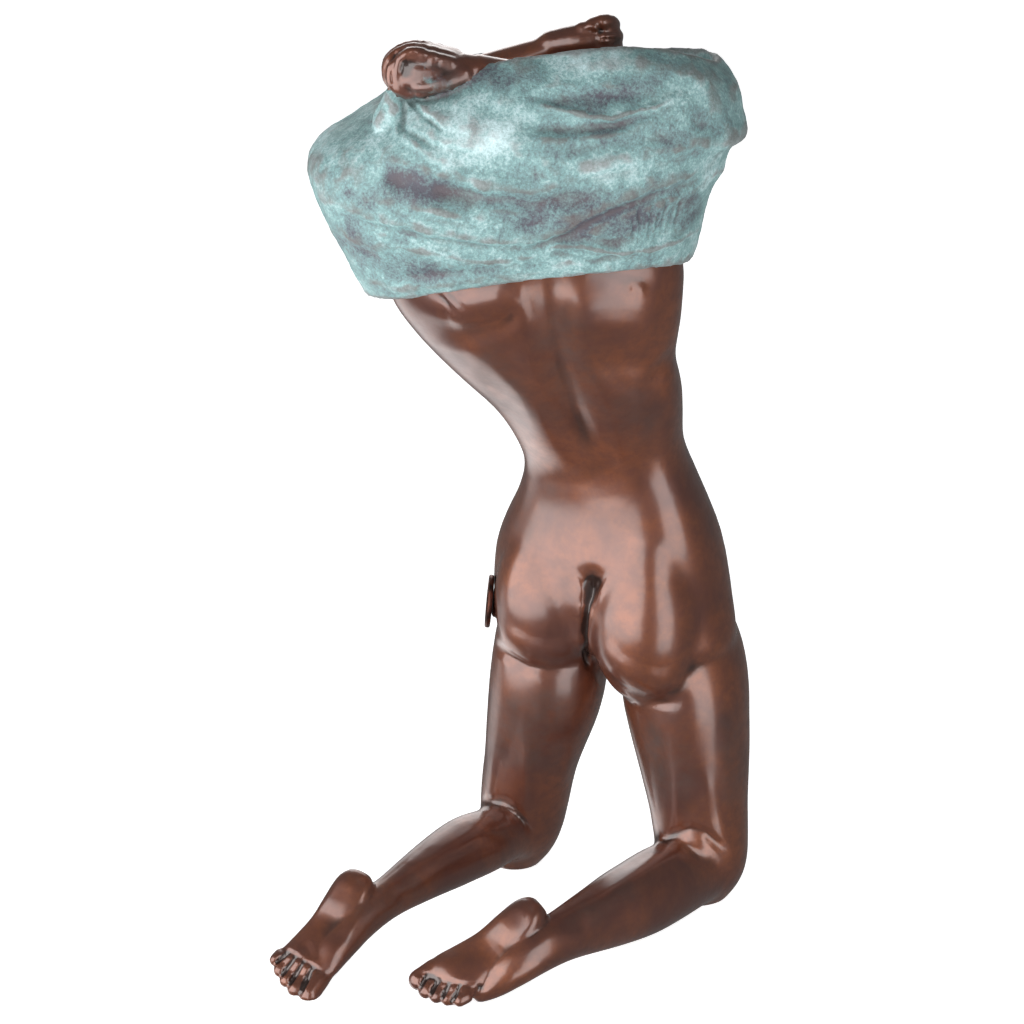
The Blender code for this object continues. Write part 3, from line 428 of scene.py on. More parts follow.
# The gaps between the toes of both feet, where the viewer sees them, and the one beside a big toe
TOE_GAPS = (
    ((288, 952), (282, 957), (274, 964)),
    ((295, 957), (289, 965), (280, 977)),
    ((303, 962), (297, 972), (287, 987)),
    ((427, 976), (423, 982), (418, 990)),
    ((438, 980), (434, 987), (429, 997)),
    ((449, 983), (445, 991), (440, 1001)),
    ((460, 985), (456, 993), (450, 1004)),
)
WIDE_TOE_GAP = ((312, 968), (306, 980), (298, 996))
LEG_STROKES = (
    # Behind the knees: the fold, the calf that bulges against it, tendons and the hollow between
    (8.0, -0.7, ((474, 806), (490, 801), (504, 803), (514, 809), (528, 826))),
    (12.0, 0.5, ((476, 820), (496, 813), (510, 819), (522, 836))),
    (18.0, -0.5, ((510, 740), (510, 778), (508, 804))),
    (10.0, 0.5, ((495, 750), (492, 780), (489, 804))),
    (10.0, 0.5, ((526, 744), (528, 782), (532, 816))),
    (8.0, -0.7, ((658, 848), (674, 834), (690, 829), (706, 834), (726, 852))),
    (14.0, 0.4, ((664, 858), (682, 845), (700, 844), (716, 860))),
    (18.0, -0.5, ((691, 766), (693, 802), (692, 828))),
    (12.0, 0.3, ((675, 776), (673, 806), (668, 834))),
    (12.0, 0.3, ((708, 776), (714, 810), (722, 842))),
    (8.0, 0.4, ((572, 746), (568, 764), (560, 784))),
    # Calves and the hollows by the ankles
    (16.0, 0.6, ((496, 826), (462, 846), (424, 870))),
    (16.0, 0.6, ((674, 852), (634, 880), (594, 908))),
    (14.0, -0.5, ((386, 892), (397, 898), (410, 902))),
    (16.0, -0.5, ((550, 918), (568, 922), (590, 924))),
    # Soles: the inner edge, the arch, the fold before the ball, the ball, and under the toes
    (9.0, 0.4, ((371, 880), (361, 906), (345, 938))),
    (18.0, -0.4, ((346, 884), (338, 904), (326, 926))),
    (16.0, 0.3, ((296, 938), (318, 941), (342, 950))),
    (5.0, -0.5, ((278, 946), (298, 957), (312, 966), (326, 976))),
    (8.0, -0.4, ((304, 942), (311, 960))),
    (9.0, 0.4, ((540, 904), (529, 926), (516, 947), (498, 972))),
    (18.0, -0.4, ((524, 912), (514, 932), (500, 950))),
    (16.0, 0.3, ((438, 962), (462, 964), (490, 969))),
    (5.0, -0.5, ((416, 972), (438, 980), (458, 984), (486, 988))),
    *((3.4, -1.1, gap) for gap in TOE_GAPS),
    (3.8, -1.3, WIDE_TOE_GAP),
)
HAND_STROKES = (
    # Near fist: the hollow inside the curled little finger, the gap between two fingers, the palm
    (10.0, -0.5, ((398, 60), (406, 69), (410, 80))),
    (4.0, -0.8, ((404, 45), (394, 54), (391, 70), (394, 90))),
    (5.0, 0.5, ((424, 47), (408, 51), (399, 60), (398, 76))),
    (9.0, -0.4, ((404, 60), (432, 62), (456, 68))),
    (10.0, 0.7, ((404, 84), (430, 86), (458, 82))),
    (5.0, -0.5, ((408, 92), (430, 95), (456, 96))),
    # Far fist: the knuckles, and the fingers' side
    (4.0, 0.3, ((584, 25), (592, 27), (600, 31))),
    (4.0, -0.4, ((600, 22), (600, 34), (598, 46))),
    (2.5, -0.4, ((600, 31), (608, 32), (618, 32))),
    (2.5, -0.4, ((600, 39), (609, 39), (618, 39))),
)
# Patches of the garment's colour: width, how much paler or, below 0, darker, and where. The darker patches
# lie along the garment's hollows, under its bulges, lap and hem, and in the near palm, and paint shade
# there.
TINT_AND_SHADE_STROKES = (
    (56.0, 0.42, ((400, 104), (440, 122), (480, 138), (516, 146))),
    (34.0, 0.25, ((440, 112), (476, 124), (508, 138))),
    (20.0, 0.2, ((322, 140), (334, 156), (348, 170))),
    (20.0, 0.4, ((480, 62), (560, 56), (640, 58))),
    (16.0, 0.4, ((600, 112), (640, 106), (676, 98))),
    (22.0, 0.25, ((560, 170), (620, 168), (680, 160))),
    (16.0, 0.1, ((400, 246), (460, 256), (520, 256))),
    (30.0, -0.2, ((330, 230), (380, 250), (440, 262))),
    (32.0, -0.85, ((380, 172), (420, 188), (464, 198))),
    (24.0, -0.5, ((550, 98), (600, 98), (650, 94))),
    (22.0, -0.4, ((420, 60), (450, 74), (500, 74), (560, 66))),
    (34.0, -0.45, ((650, 140), (690, 130), (726, 120))),
    (30.0, -0.45, ((470, 206), (530, 214), (600, 208), (660, 196))),
    (26.0, -0.5, ((560, 236), (610, 228), (650, 216), (690, 204))),
    (20.0, -0.3, ((340, 186), (356, 196), (380, 204))),
    (24.0, -0.25, ((540, 150), (580, 152), (620, 148))),
    (22.0, -0.5, ((400, 268), (450, 276), (520, 270))),
    (20.0, -0.4, ((340, 222), (360, 244), (372, 268))),
    (14.0, -0.4, ((700, 190), (690, 214), (676, 232))),
    (16.0, -0.35, ((548, 132), (600, 132), (640, 124))),
    (30.0, -0.7, ((410, 66), (436, 74), (458, 84))),
)
# Greyer colour on the body's flatter parts: width, how much, and where. On the thighs, the back and the
# calves it paints the grey sheen that they show; on the near palm it is grey patina
GREY_PATINA_AND_SHEEN_STROKES = (
    (50.0, 0.8, ((520, 690), (524, 730), (520, 770))),
    (26.0, 0.6, ((560, 684), (562, 720), (558, 760))),
    (44.0, 0.8, ((650, 716), (664, 760), (676, 800))),
    (36.0, 0.5, ((730, 700), (736, 760), (738, 810))),
    (40.0, 0.7, ((470, 350), (500, 390), (530, 430))),
    (44.0, 0.7, ((556, 300), (566, 360), (590, 420))),
    (40.0, 0.5, ((620, 380), (636, 420), (650, 440))),
    (34.0, 0.5, ((560, 480), (530, 510), (520, 540))),
    (26.0, 1.5, ((414, 66), (438, 74), (458, 84))),
    (30.0, 0.5, ((420, 872), (380, 900), (350, 926))),
    (30.0, 0.5, ((640, 872), (600, 900), (560, 920))),
)
# Painted shade in the pit over the cleft and down the cleft, along the roots of the toes and between them,
# in the near palm, and in the hollows by the shoulder blades
PAINTED_SHADE_STROKES = (
    (20.0, 0.9, ((582, 584), (590, 588))),
    (10.0, 0.7, ((590, 590), (585, 610), (584, 640))),
    (12.0, 0.7, ((404, 58), (407, 68), (409, 82))),
    (14.0, 0.35, ((420, 66), (440, 70), (458, 78))),
    (7.0, 0.35, ((278, 946), (300, 959), (324, 975))),
    (7.0, 0.35, ((420, 974), (452, 981), (484, 987))),
    *((3.6, 0.8, gap) for gap in TOE_GAPS),
    (3.8, 0.9, WIDE_TOE_GAP),
    (14.0, 0.5, ((444, 290), (458, 304), (466, 318))),
    (20.0, 0.5, ((596, 276), (624, 282), (650, 288))),
)
# Verdigris that has strayed onto the near palm
PALM_BLOOM = (
    (30.0, 0.36, ((412, 70), (432, 76), (456, 84))),
    (16.0, 0.20, ((424, 88), (446, 88), (462, 86))),
)
# Palm masses that fill the fists, as chains of round joints x, y, z, radius
PALMS = (
    ((-12.0, -20.2, 291.4, 5.2), (-21.0, -22.0, 291.6, 5.6), (-29.0, -22.4, 291.6, 5.2)),
    ((-14.0, -21.6, 289.6, 4.2), (-21.0, -22.4, 288.6, 4.0), (-28.0, -22.4, 287.6, 3.4)),
    ((12.0, 14.0, 291.4, 4.8), (20.0, 13.6, 292.8, 5.4), (26.4, 14.4, 292.8, 5.0)),
    ((28.6, 16.6, 292.6, 4.0), (27.0, 19.5, 290.6, 3.6)),
)

# Strokes on the sides that the viewer doesn't see, in the pose frame
FAR_SIDE = (0.4, 0.92, 0.0)
FRONT_STROKES = (
    # Middle line, arch of the ribs, navel, folds of the groin, and under the breasts
    (6.0, -1.2, ((16.0, 41.0, 190.0), (30.0, 50.0, 168.0), (42.0, 57.0, 146.0))),
    (5.5, -1.2, ((-2.0, 34.0, 168.0), (8.0, 38.0, 178.0), (17.0, 41.0, 184.0), (30.0, 40.0, 179.0),
        (42.0, 36.0, 170.0))),
    (3.0, -2.2, ((44.5, 60.0, 137.5), (44.8, 60.0, 135.5))),
    (4.5, 0.5, ((40.5, 60.0, 139.0), (44.5, 60.0, 141.5), (48.5, 60.0, 139.0))),
    (4.5, -1.5, ((14.0, 62.0, 108.0), (26.0, 68.0, 96.0), (40.0, 66.0, 84.0))),
    (4.5, -1.5, ((72.0, 44.0, 108.0), (64.0, 54.0, 96.0), (50.0, 60.0, 84.0))),
    (8.0, 0.7, ((34.0, 54.0, 150.0), (40.0, 58.0, 128.0))),
    (8.0, 0.7, ((52.0, 50.0, 150.0), (54.0, 54.0, 128.0))),
    (2.2, 1.1, ((-7.0, 46.0, 194.6), (-6.8, 46.0, 193.8))),
    (2.2, 1.1, ((31.0, 50.0, 195.6), (31.2, 50.0, 194.8))),
    (4.2, 0.35, ((-7.0, 46.0, 195.0), (-6.8, 46.0, 193.4))),
    (4.2, 0.35, ((31.0, 50.0, 196.0), (31.2, 50.0, 194.4))),
)
# The upper cloth's lip at her right elbow, and the step in under it, as someone to her right sees
RIGHT_SIDE = (1.0, -0.15, 0.0)
LIP_STROKES = (
    (5.5, 1.1, ((60.0, -36.0, 274.0), (70.0, -16.0, 271.5), (71.0, 4.0, 270.5), (68.0, 26.0, 271.0))),
    (5.5, -1.9, ((58.0, -38.0, 267.0), (67.0, -16.0, 264.6), (68.0, 4.0, 263.6), (65.0, 26.0, 264.0))),
)
FAR_CLOTH_STROKES = (
    # Swags that hang between the elbows, and creases down from the far fist
    (6.0, 1.8, ((-50.0, 24.0, 268.0), (-22.0, 42.0, 254.0), (8.0, 45.0, 249.0), (38.0, 42.0, 256.0),
        (60.0, 26.0, 272.0))),
    (4.0, -2.0, ((-52.0, 24.0, 261.0), (-24.0, 42.0, 246.0), (8.0, 45.0, 241.0), (40.0, 42.0, 249.0),
        (62.0, 24.0, 265.0))),
    (5.5, 1.6, ((-50.0, 24.0, 252.0), (-24.0, 42.0, 238.0), (8.0, 45.0, 233.0), (40.0, 41.0, 241.0),
        (60.0, 24.0, 256.0))),
    (3.6, -1.8, ((-48.0, 26.0, 244.0), (-24.0, 41.0, 230.0), (8.0, 44.0, 225.0), (40.0, 40.0, 233.0),
        (57.0, 24.0, 247.0))),
    (3.0, 0.8, ((-46.0, 26.0, 236.0), (-20.0, 40.0, 222.0), (8.0, 43.0, 217.0), (36.0, 39.0, 224.0))),
    (3.0, -1.4, ((14.0, 32.0, 285.0), (6.0, 40.0, 272.0), (-6.0, 44.0, 260.0))),
    (3.0, 0.8, ((18.0, 32.0, 285.0), (13.0, 40.0, 272.0), (4.0, 44.0, 260.0))),
    (3.0, -1.4, ((28.0, 32.0, 285.0), (34.0, 39.0, 273.0), (44.0, 40.0, 264.0))),
    (3.0, 0.8, ((23.0, 33.0, 285.0), (25.0, 40.0, 273.0), (30.0, 43.0, 262.0))),
    (2.6, -0.9, ((-30.0, 30.0, 276.0), (-34.0, 34.0, 266.0), (-40.0, 34.0, 256.0))),
)


def station_rings(stations, steps=RING_STEPS):
    """Stations with evenly eased ones between them, on a curve that passes through each."""
    ends = [stations[0], *stations, stations[-1]]
    points = np.array(ends, dtype=float)
    eased = []
    for index in range(1, len(points) - 2):
        before, start, end, after = points[index - 1 : index + 3]
        for step in range(steps):
            t = step / steps
            curve = 2 * start + (end - before) * t
            curve += (2 * before - 5 * start + 4 * end - after) * t**2
            curve += (3 * start - before - 3 * end + after) * t**3
            eased.append(curve / 2)
    eased.append(points[-1])
    return eased


def rounded(value, squareness):
    """A sine or cosine pushed towards a square's."""
    return math.copysign(abs(value) ** (2 / squareness), value)


def loft(bm, rings):
    """A closed tube through rings. Each ring is a function from an angle to a point."""
    loops = []
    for index, place in enumerate(rings):
        is_end = index in (0, len(rings) - 1)
        made = bmesh.ops.create_circle(bm, cap_ends=is_end, segments=RING_SIDES, radius=1.0)
        verts = made["verts"]
        loops.append({edge for vert in verts for edge in vert.link_edges})
        for vert in verts:
            vert.co = place(math.atan2(vert.co.y, vert.co.x))
    for below, above in zip(loops, loops[1:]):
        bmesh.ops.bridge_loops(bm, edges=list(below | above))


def trunk_ring(station):
    x, y, z, turn, half_width, behind, before = station
    turn = math.radians(turn)
    left = Vector((-math.cos(turn), math.sin(turn), 0.0))
    forward = Vector((math.sin(turn), math.cos(turn), 0.0))

    def place(angle):
        across = rounded(math.cos(angle), TRUNK_SQUARENESS) * half_width
        deep = rounded(math.sin(angle), TRUNK_SQUARENESS)
        deep *= before if deep > 0 else behind
        return Vector((x, y, z)) + left * across + forward * deep

    return place


def limb(bm, stations, back):
    """A limb through its stations, each ring square to the way the limb runs."""
    stations = station_rings(stations)
    points = [Vector(station[:3]) for station in stations]
    rings = []
    for index, station in enumerate(stations):
        along = points[min(index + 1, len(points) - 1)] - points[max(index - 1, 0)]
        across = along.cross(back).normalized()
        deep = across.cross(along).normalized()
        rings.append(limb_ring(points[index], across * station[3], deep * station[4]))
    loft(bm, rings)


def limb_ring(middle, across, deep):
    return lambda angle: middle + across * math.cos(angle) + deep * math.sin(angle)


def ball(bm, middle, radii, turn=0.0):
    """An ellipsoid, turned about the vertical."""
    place = Matrix.Translation(middle) @ Matrix.Rotation(-math.radians(turn), 4, "Z")
    place = place @ Matrix.Diagonal((*radii, 1.0))
    bmesh.ops.create_icosphere(bm, subdivisions=4, radius=1.0, matrix=place)


def chain(bm, joints, steps=4):
    """Round joints set so close together that they read as one bent finger or palm."""
    for x, y, z, radius in station_rings(joints, steps):
        ball_at = Matrix.Translation((x, y, z)) @ Matrix.Scale(radius, 4)
        bmesh.ops.create_icosphere(bm, subdivisions=2, radius=1.0, matrix=ball_at)


def foot_axes(foot):
    """Ways along the foot, across it towards the little toe, and out of its sole."""
    heel, along, sole, big_toe_side = foot
    along = along.normalized()
    across = along.cross(sole).normalized() * big_toe_side
    sole = (sole - along * sole.dot(along)).normalized()
    return heel, along, across, sole


def model_foot(bm, foot):
    heel, along, across, sole = foot_axes(foot)
    rings = []
    for reach, half_width, sole_side, instep_side in station_rings(FOOT_RINGS):
        middle = heel + along * reach
        rings.append(foot_ring(middle, across * half_width, sole * sole_side, sole * instep_side))
    loft(bm, rings)
    for place, root, tip, radius in TOES:
        toe_root = heel + across * place + along * root
        toe_tip = heel + across * place + along * (tip - radius) + sole * TOE_LIFT
        chain(bm, ((*toe_root, radius), (*toe_tip, radius)), steps=6)


def foot_ring(middle, across, sole_side, instep_side):
    def place(angle):
        deep = math.sin(angle)
        side = sole_side if deep > 0 else instep_side
        return middle + across * rounded(math.cos(angle), FOOT_SQUARENESS) + side * deep

    return place


def garment_ring(station, inset=0.0, drop=0.0):
    """A ring of the garment, drawn in by inset and lowered by drop."""
    left_x, left_z, right_x, right_z, near_y, near_z, far_y, far_z = station
    middle_x = (left_x + right_x) / 2
    middle_y = (near_y + far_y) / 2
    half_x = (right_x - left_x) / 2 - inset
    half_y = (far_y - near_y) / 2 - inset

    def place(angle):
        c, s = math.cos(angle), math.sin(angle)
        x = middle_x + rounded(c, GARMENT_SQUARENESS) * half_x
        y = middle_y + rounded(s, GARMENT_SQUARENESS) * half_y
        side_z = right_z if c > 0 else left_z
        face_z = near_z + NEAR_SLOPE * (x - middle_x) if s < 0 else far_z
        return Vector((x, y, side_z * c * c + face_z * s * s - drop))

    return place


def model_garment(bm):
    stations = station_rings(GARMENT)
    wall = GARMENT_WALL / UNIT
    depth = OPENING_DEPTH / UNIT
    hem, rim = stations[0], stations[-1]
    rings = [garment_ring(hem, HEM_TURN_IN, -HEM_TURN_UP), garment_ring(hem, wall, -HEM_LIP)]
    rings += [garment_ring(station) for station in stations]
    rings += [garment_ring(rim, wall / 2, -wall / 3), garment_ring(rim, wall, 0.0)]
    rings += [garment_ring(rim, wall, depth * 0.5), garment_ring(rim, wall + MOUTH_LEAN, depth)]
    loft(bm, rings)
    chain(bm, PINCHED_CLOTH, steps=5)


def model_core(bm):
    """Trunk and limbs, which are eased into each other."""
    loft(bm, [trunk_ring(station) for station in station_rings(TRUNK)])
    limb(bm, LEFT_THIGH, LEG_BACK)
    limb(bm, RIGHT_THIGH, LEG_BACK)
    limb(bm, LEFT_SHIN, SHIN_BACK)
    limb(bm, RIGHT_SHIN, SHIN_BACK)
    for middle, radii, turn in BODY_FORMS:
        ball(bm, middle, radii, turn)
    for upper_arm in UPPER_ARMS:
        limb(bm, upper_arm, SHIN_BACK)


def model_extremities(bm):
    """Feet, hands, forearms and crown, which keep their crisp joints."""
    model_foot(bm, LEFT_FOOT)
    model_foot(bm, RIGHT_FOOT)
    for forearm in FOREARMS:
        limb(bm, forearm, SHIN_BACK)
    for joints in NEAR_HAND + FAR_HAND:
        chain(bm, joints)
    ball(bm, *CROWN)


def seal_axes():
    """Turns +Z to the way the disc's face looks, with the disc's middle at its place."""
    turn = SEAL_FACE.to_track_quat("Z", "Y").to_matrix().to_4x4()
    return Matrix.Translation(SEAL_MIDDLE) @ turn


def model_seal_seat(bm):
    """The stub on the hip that the disc sits on, ending a fit gap short of its back."""
    top = -(SEAL_THICKNESS / 2 + FIT_GAP) / UNIT
    length = SEAL_SEAT_ROOT + top
    place = seal_axes() @ Matrix.Translation((0.0, 0.0, top - length / 2))
    radius = SEAL_SEAT_DIAMETER / UNIT / 2
    bmesh.ops.create_cone(
        bm, cap_ends=True, segments=32, radius1=radius * 1.3, radius2=radius, depth=length, matrix=place
    )


def fused(bm, grain, passes):
    """One skin over all the volumes in bm, eased by a number of passes."""
    mesh = bpy.data.meshes.new("volumes")
    bm.to_mesh(mesh)
    bm.free()
    model = bpy.data.objects.new("volumes", mesh)
    bpy.context.scene.collection.objects.link(model)
    skin = model.modifiers.new("skin", "REMESH")
    skin.mode = "VOXEL"
    skin.voxel_size = grain
    ease = model.modifiers.new("ease", "SMOOTH")
    ease.factor = 0.5
    ease.iterations = passes
    graph = bpy.context.evaluated_depsgraph_get()
    result = bpy.data.meshes.new_from_object(model.evaluated_get(graph))
    bpy.data.objects.remove(model)
    return result


def read_points(mesh, attribute="co"):
    flat = np.empty(len(mesh.vertices) * 3, dtype=np.float32)
    mesh.vertices.foreach_get(attribute, flat)
    return flat.reshape(-1, 3).astype(float)


def write_points(mesh, points):
    mesh.vertices.foreach_set("co", points.astype(np.float32).ravel())
    mesh.update()


def view_axes():
    """Ways forward, right and up in the view."""
    forward = Vector((0.0, math.cos(VIEW_HEIGHT), -math.sin(VIEW_HEIGHT)))
    up = Vector((0.0, math.sin(VIEW_HEIGHT), math.cos(VIEW_HEIGHT)))
    return forward, Vector((1.0, 0.0, 0.0)), up


def in_view(points):
    """Where points of the pose frame lie in the view, in its steps from the top left corner."""
    forward, right, up = (np.array(axis) for axis in view_axes())
    away = points - (np.array(VIEW_AIM) - forward * VIEW_DISTANCE)
    scale = VIEW_DISTANCE / VIEW_STEP / (away @ forward)
    return np.stack([VIEW_MIDDLE + away @ right * scale, VIEW_MIDDLE - away @ up * scale], axis=1)


def pressed(places, width, height, points):
    """How far a stroke along points raises each place, fading out at its width."""
    path = np.array(points, dtype=float)
    low, high = path.min(axis=0) - width, path.max(axis=0) + width
    near = np.flatnonzero(np.all((places > low) & (places < high), axis=1))
    rise = np.zeros(len(places))
    if not len(near):
        return rise
    nearest = np.full(len(near), np.inf)
    along = np.zeros(len(near))
    done = 0.0
    for start, end in zip(path, path[1:]):
        run = end - start
        length = np.linalg.norm(run)
        share = np.clip((places[near] - start) @ run / (run @ run), 0.0, 1.0)
        gap = np.linalg.norm(places[near] - start - share[:, None] * run, axis=1)
        closer = gap < nearest
        nearest[closer] = gap[closer]
        along[closer] = done + share[closer] * length
        done += length
    run_in = np.clip(np.minimum(along, done - along) / (done * STROKE_RUN_IN), 0.0, 1.0)
    fade = STROKE_END + (1.0 - STROKE_END) * run_in * (2.0 - run_in)
    rise[near] = height * fade * np.clip(1.0 - (nearest / width) ** 2, 0.0, 1.0) ** 2
    return rise


def painted(points, strokes):
    """How much strokes laid out in the view give each point."""
    places = in_view(points)
    return sum(pressed(places, *stroke) for stroke in strokes)


def worked(mesh, gate, strokes, looks=None):
    """Works strokes into the skin. They are laid out in the view, or with looks in the pose frame."""
    skin = read_points(mesh)
    normals = read_points(mesh, "normal")
    if looks is None:
        places = in_view(skin)
        towards = -np.array(view_axes()[0])
    else:
        towards = np.array(looks) / np.linalg.norm(looks)
        places = skin - DEPTH_IGNORED * (skin @ towards)[:, None] * towards
    rise = np.zeros(len(skin))
    for width, height, points in strokes:
        if looks is not None:
            points = np.array(points)
            points = points - DEPTH_IGNORED * (points @ towards)[:, None] * towards
        rise += pressed(places, width, height, points)
    rise *= gate * np.clip(normals @ towards * FACING_GAIN, 0.0, 1.0)
    write_points(mesh, skin + normals * rise[:, None])


def smoothed(mesh, values, passes):
    """Values at the corners, each averaged with its neighbours a number of times."""
    ends = np.empty(len(mesh.edges) * 2, dtype=np.int32)
    mesh.edges.foreach_get("vertices", ends)
    first, second = ends[::2], ends[1::2]
    count = len(mesh.vertices)
    share = np.bincount(first, minlength=count) + np.bincount(second, minlength=count)
    for _ in range(passes):
        total = np.bincount(first, values[second], count) + np.bincount(second, values[first], count)
        values = 0.5 * values + 0.5 * total / np.maximum(share, 1)
    return values


def hollows(mesh):
    """From -1 on sharp ridges to 1 in deep hollows, at two scales."""
    skin = read_points(mesh)
    normals = read_points(mesh, "normal")
    found = np.zeros(len(skin))
    for passes, gain in HOLLOW_SCALES:
        eased = np.stack([smoothed(mesh, skin[:, axis], passes) for axis in range(3)], axis=1)
        found += gain * np.einsum("ij,ij->i", eased - skin, normals)
    return np.clip(smoothed(mesh, found, 2), -1.0, 1.0)


def on_cloth(points, body, cloth):
    """1 where a point lies on the garment, 0 where it lies on the body."""
    found = np.empty(len(points))
    for index, point in enumerate(points):
        found[index] = cloth.find_nearest(point)[3] < body.find_nearest(point)[3]
    return found


def lumps(points, size, height):
    """Soft unevenness, as a modeller's thumb leaves it."""
    return np.array([noise.noise(Vector(point) / size) for point in points]) * height


def set_values(mesh, name, values):
    layer = mesh.attributes.new(name, "FLOAT", "POINT")
    layer.data.foreach_set("value", values.astype(np.float32))


def facing_viewer(mesh):
    """1 where the skin looks towards the viewer, 0 where it looks away."""
    turned = read_points(mesh, "normal") @ -np.array(view_axes()[0])
    return np.clip(turned * FACING_GAIN, 0.0, 1.0)


def hair_strokes():
    """Locks that run from the crown's top down its sides, in the pose frame."""
    middle, radii, _ = CROWN
    locks = []
    for lock in range(LOCKS):
        angle = math.tau * (lock + 0.3 * math.sin(lock * 2.3)) / LOCKS
        path = []
        for drop in LOCK_DROPS:
            turn = angle + LOCK_TWIST * drop
            across = math.sin(drop)
            path.append((
                middle[0] + radii[0] * across * math.cos(turn),
                middle[1] + radii[1] * across * math.sin(turn),
                middle[2] + radii[2] * math.cos(drop),
            ))
        locks.append((LOCK_WIDTH, LOCK_HEIGHT, path))
    return locks


def cut_rest_flats(mesh):
    """Grinds knees and toes flat on the ground plane."""
    bm = bmesh.new()
    bm.from_mesh(mesh)
    ground = Vector((0.0, 0.0, REST_FLAT_DEPTH / UNIT))
    everything = bm.verts[:] + bm.edges[:] + bm.faces[:]
    bmesh.ops.bisect_plane(
        bm, geom=everything, dist=0.01, plane_co=ground, plane_no=(0.0, 0.0, 1.0), clear_inner=True
    )
    rims = [edge for edge in bm.edges if edge.is_boundary]
    bmesh.ops.holes_fill(bm, edges=rims, sides=0)
    bmesh.ops.triangulate(bm, faces=[face for face in bm.faces if len(face.verts) > 4])
    bmesh.ops.translate(bm, verts=bm.verts, vec=-ground)
    bm.to_mesh(mesh)
    bm.free()


def into_place(mesh):
    """From the pose frame to real size, facing -Y, with the middle of the box over the origin."""
    mesh.transform(placing())


def placing():
    """The way from the pose frame, cut off at the ground, to the row frame."""
    to_middle = Matrix.Translation((-BOX_MIDDLE.x, -BOX_MIDDLE.y, 0.0))
    return Matrix.Scale(UNIT, 4) @ Matrix.Rotation(POSE_TURN, 4, "Z") @ to_middle


def thinned(mesh, triangles):
    """The same skin with about the stated number of triangles, most of them where it bends."""
    model = bpy.data.objects.new("skin", mesh)
    bpy.context.scene.collection.objects.link(model)
    model.modifiers.new("triangles", "TRIANGULATE")
    thin = model.modifiers.new("thin", "DECIMATE")
    thin.ratio = min(1.0, triangles / (2 * len(mesh.polygons)))
    graph = bpy.context.evaluated_depsgraph_get()
    result = bpy.data.meshes.new_from_object(model.evaluated_get(graph))
    bpy.data.objects.remove(model)
    return result


def model_figure(settings):
    """The finished skin of the figure, at its place in the row frame."""
    core_bm = bmesh.new()
    model_core(core_bm)
    core = fused(core_bm, CORE_GRAIN, CORE_PASSES)
    whole = bmesh.new()
    whole.from_mesh(core)
    model_extremities(whole)
    for palm in PALMS:
        chain(whole, palm)
    model_seal_seat(whole)
    body = BVHTree.FromBMesh(whole)
    cloth_bm = bmesh.new()
    model_garment(cloth_bm)
    cloth = BVHTree.FromBMesh(cloth_bm)
    cloth_bm.free()
    model_garment(whole)
    skin = fused(whole, settings.grain / UNIT, SKIN_PASSES)

    points = read_points(skin)
    dressed = on_cloth(points, body, cloth)
    near_side = points[:, 1] < NEAR_SIDE_END
    relief = settings.relief
    worked(skin, relief * dressed * near_side, CLOTH_STROKES + MARK_STROKES)
    worked(skin, relief * (1.0 - dressed), BACK_STROKES + HIP_STROKES + LEG_STROKES + HAND_STROKES)
    worked(skin, relief * dressed, FAR_CLOTH_STROKES, FAR_SIDE)
    worked(skin, relief * dressed, LIP_STROKES, RIGHT_SIDE)
    worked(skin, relief * (1.0 - dressed), FRONT_STROKES, FAR_SIDE)
    worked(skin, relief * (1.0 - dressed), hair_strokes(), (0.0, 0.0, 1.0))
    points = read_points(skin)
    normals = read_points(skin, "normal")
    uneven = np.zeros(len(points))
    garment = np.flatnonzero(dressed > 0.5)
    for size, height in CLOTH_LUMPS:
        uneven[garment] += lumps(points[garment], size, height)
    write_points(skin, points + normals * uneven[:, None])

    skin = thinned(skin, settings.triangles)
    points = read_points(skin)
    dressed = smoothed(skin, on_cloth(points, body, cloth), 1)
    near_side = points[:, 1] < NEAR_SIDE_END
    set_values(skin, "cloth", dressed + near_side * painted(points, PALM_BLOOM))
    # Patches of verdigris colour, and painted shade in the garment's hollows and under its folds, on the
    # near side
    set_values(skin, "tint_and_shade", near_side * painted(points, TINT_AND_SHADE_STROKES))
    facing = facing_viewer(skin)
    # The hollow measure darkens hollows and creases as patina and painted shade, and the shade strokes add
    # painted shade where they face the viewer
    set_values(skin, "hollow_and_shade", hollows(skin) + facing * painted(points, PAINTED_SHADE_STROKES))
    # Grey patina on the near palm and a painted grey sheen on the thighs, back and calves, where they face
    # the viewer
    set_values(skin, "grey_patina_and_sheen", facing * painted(points, GREY_PATINA_AND_SHEEN_STROKES))
    cut_rest_flats(skin)
    into_place(skin)
    return skin


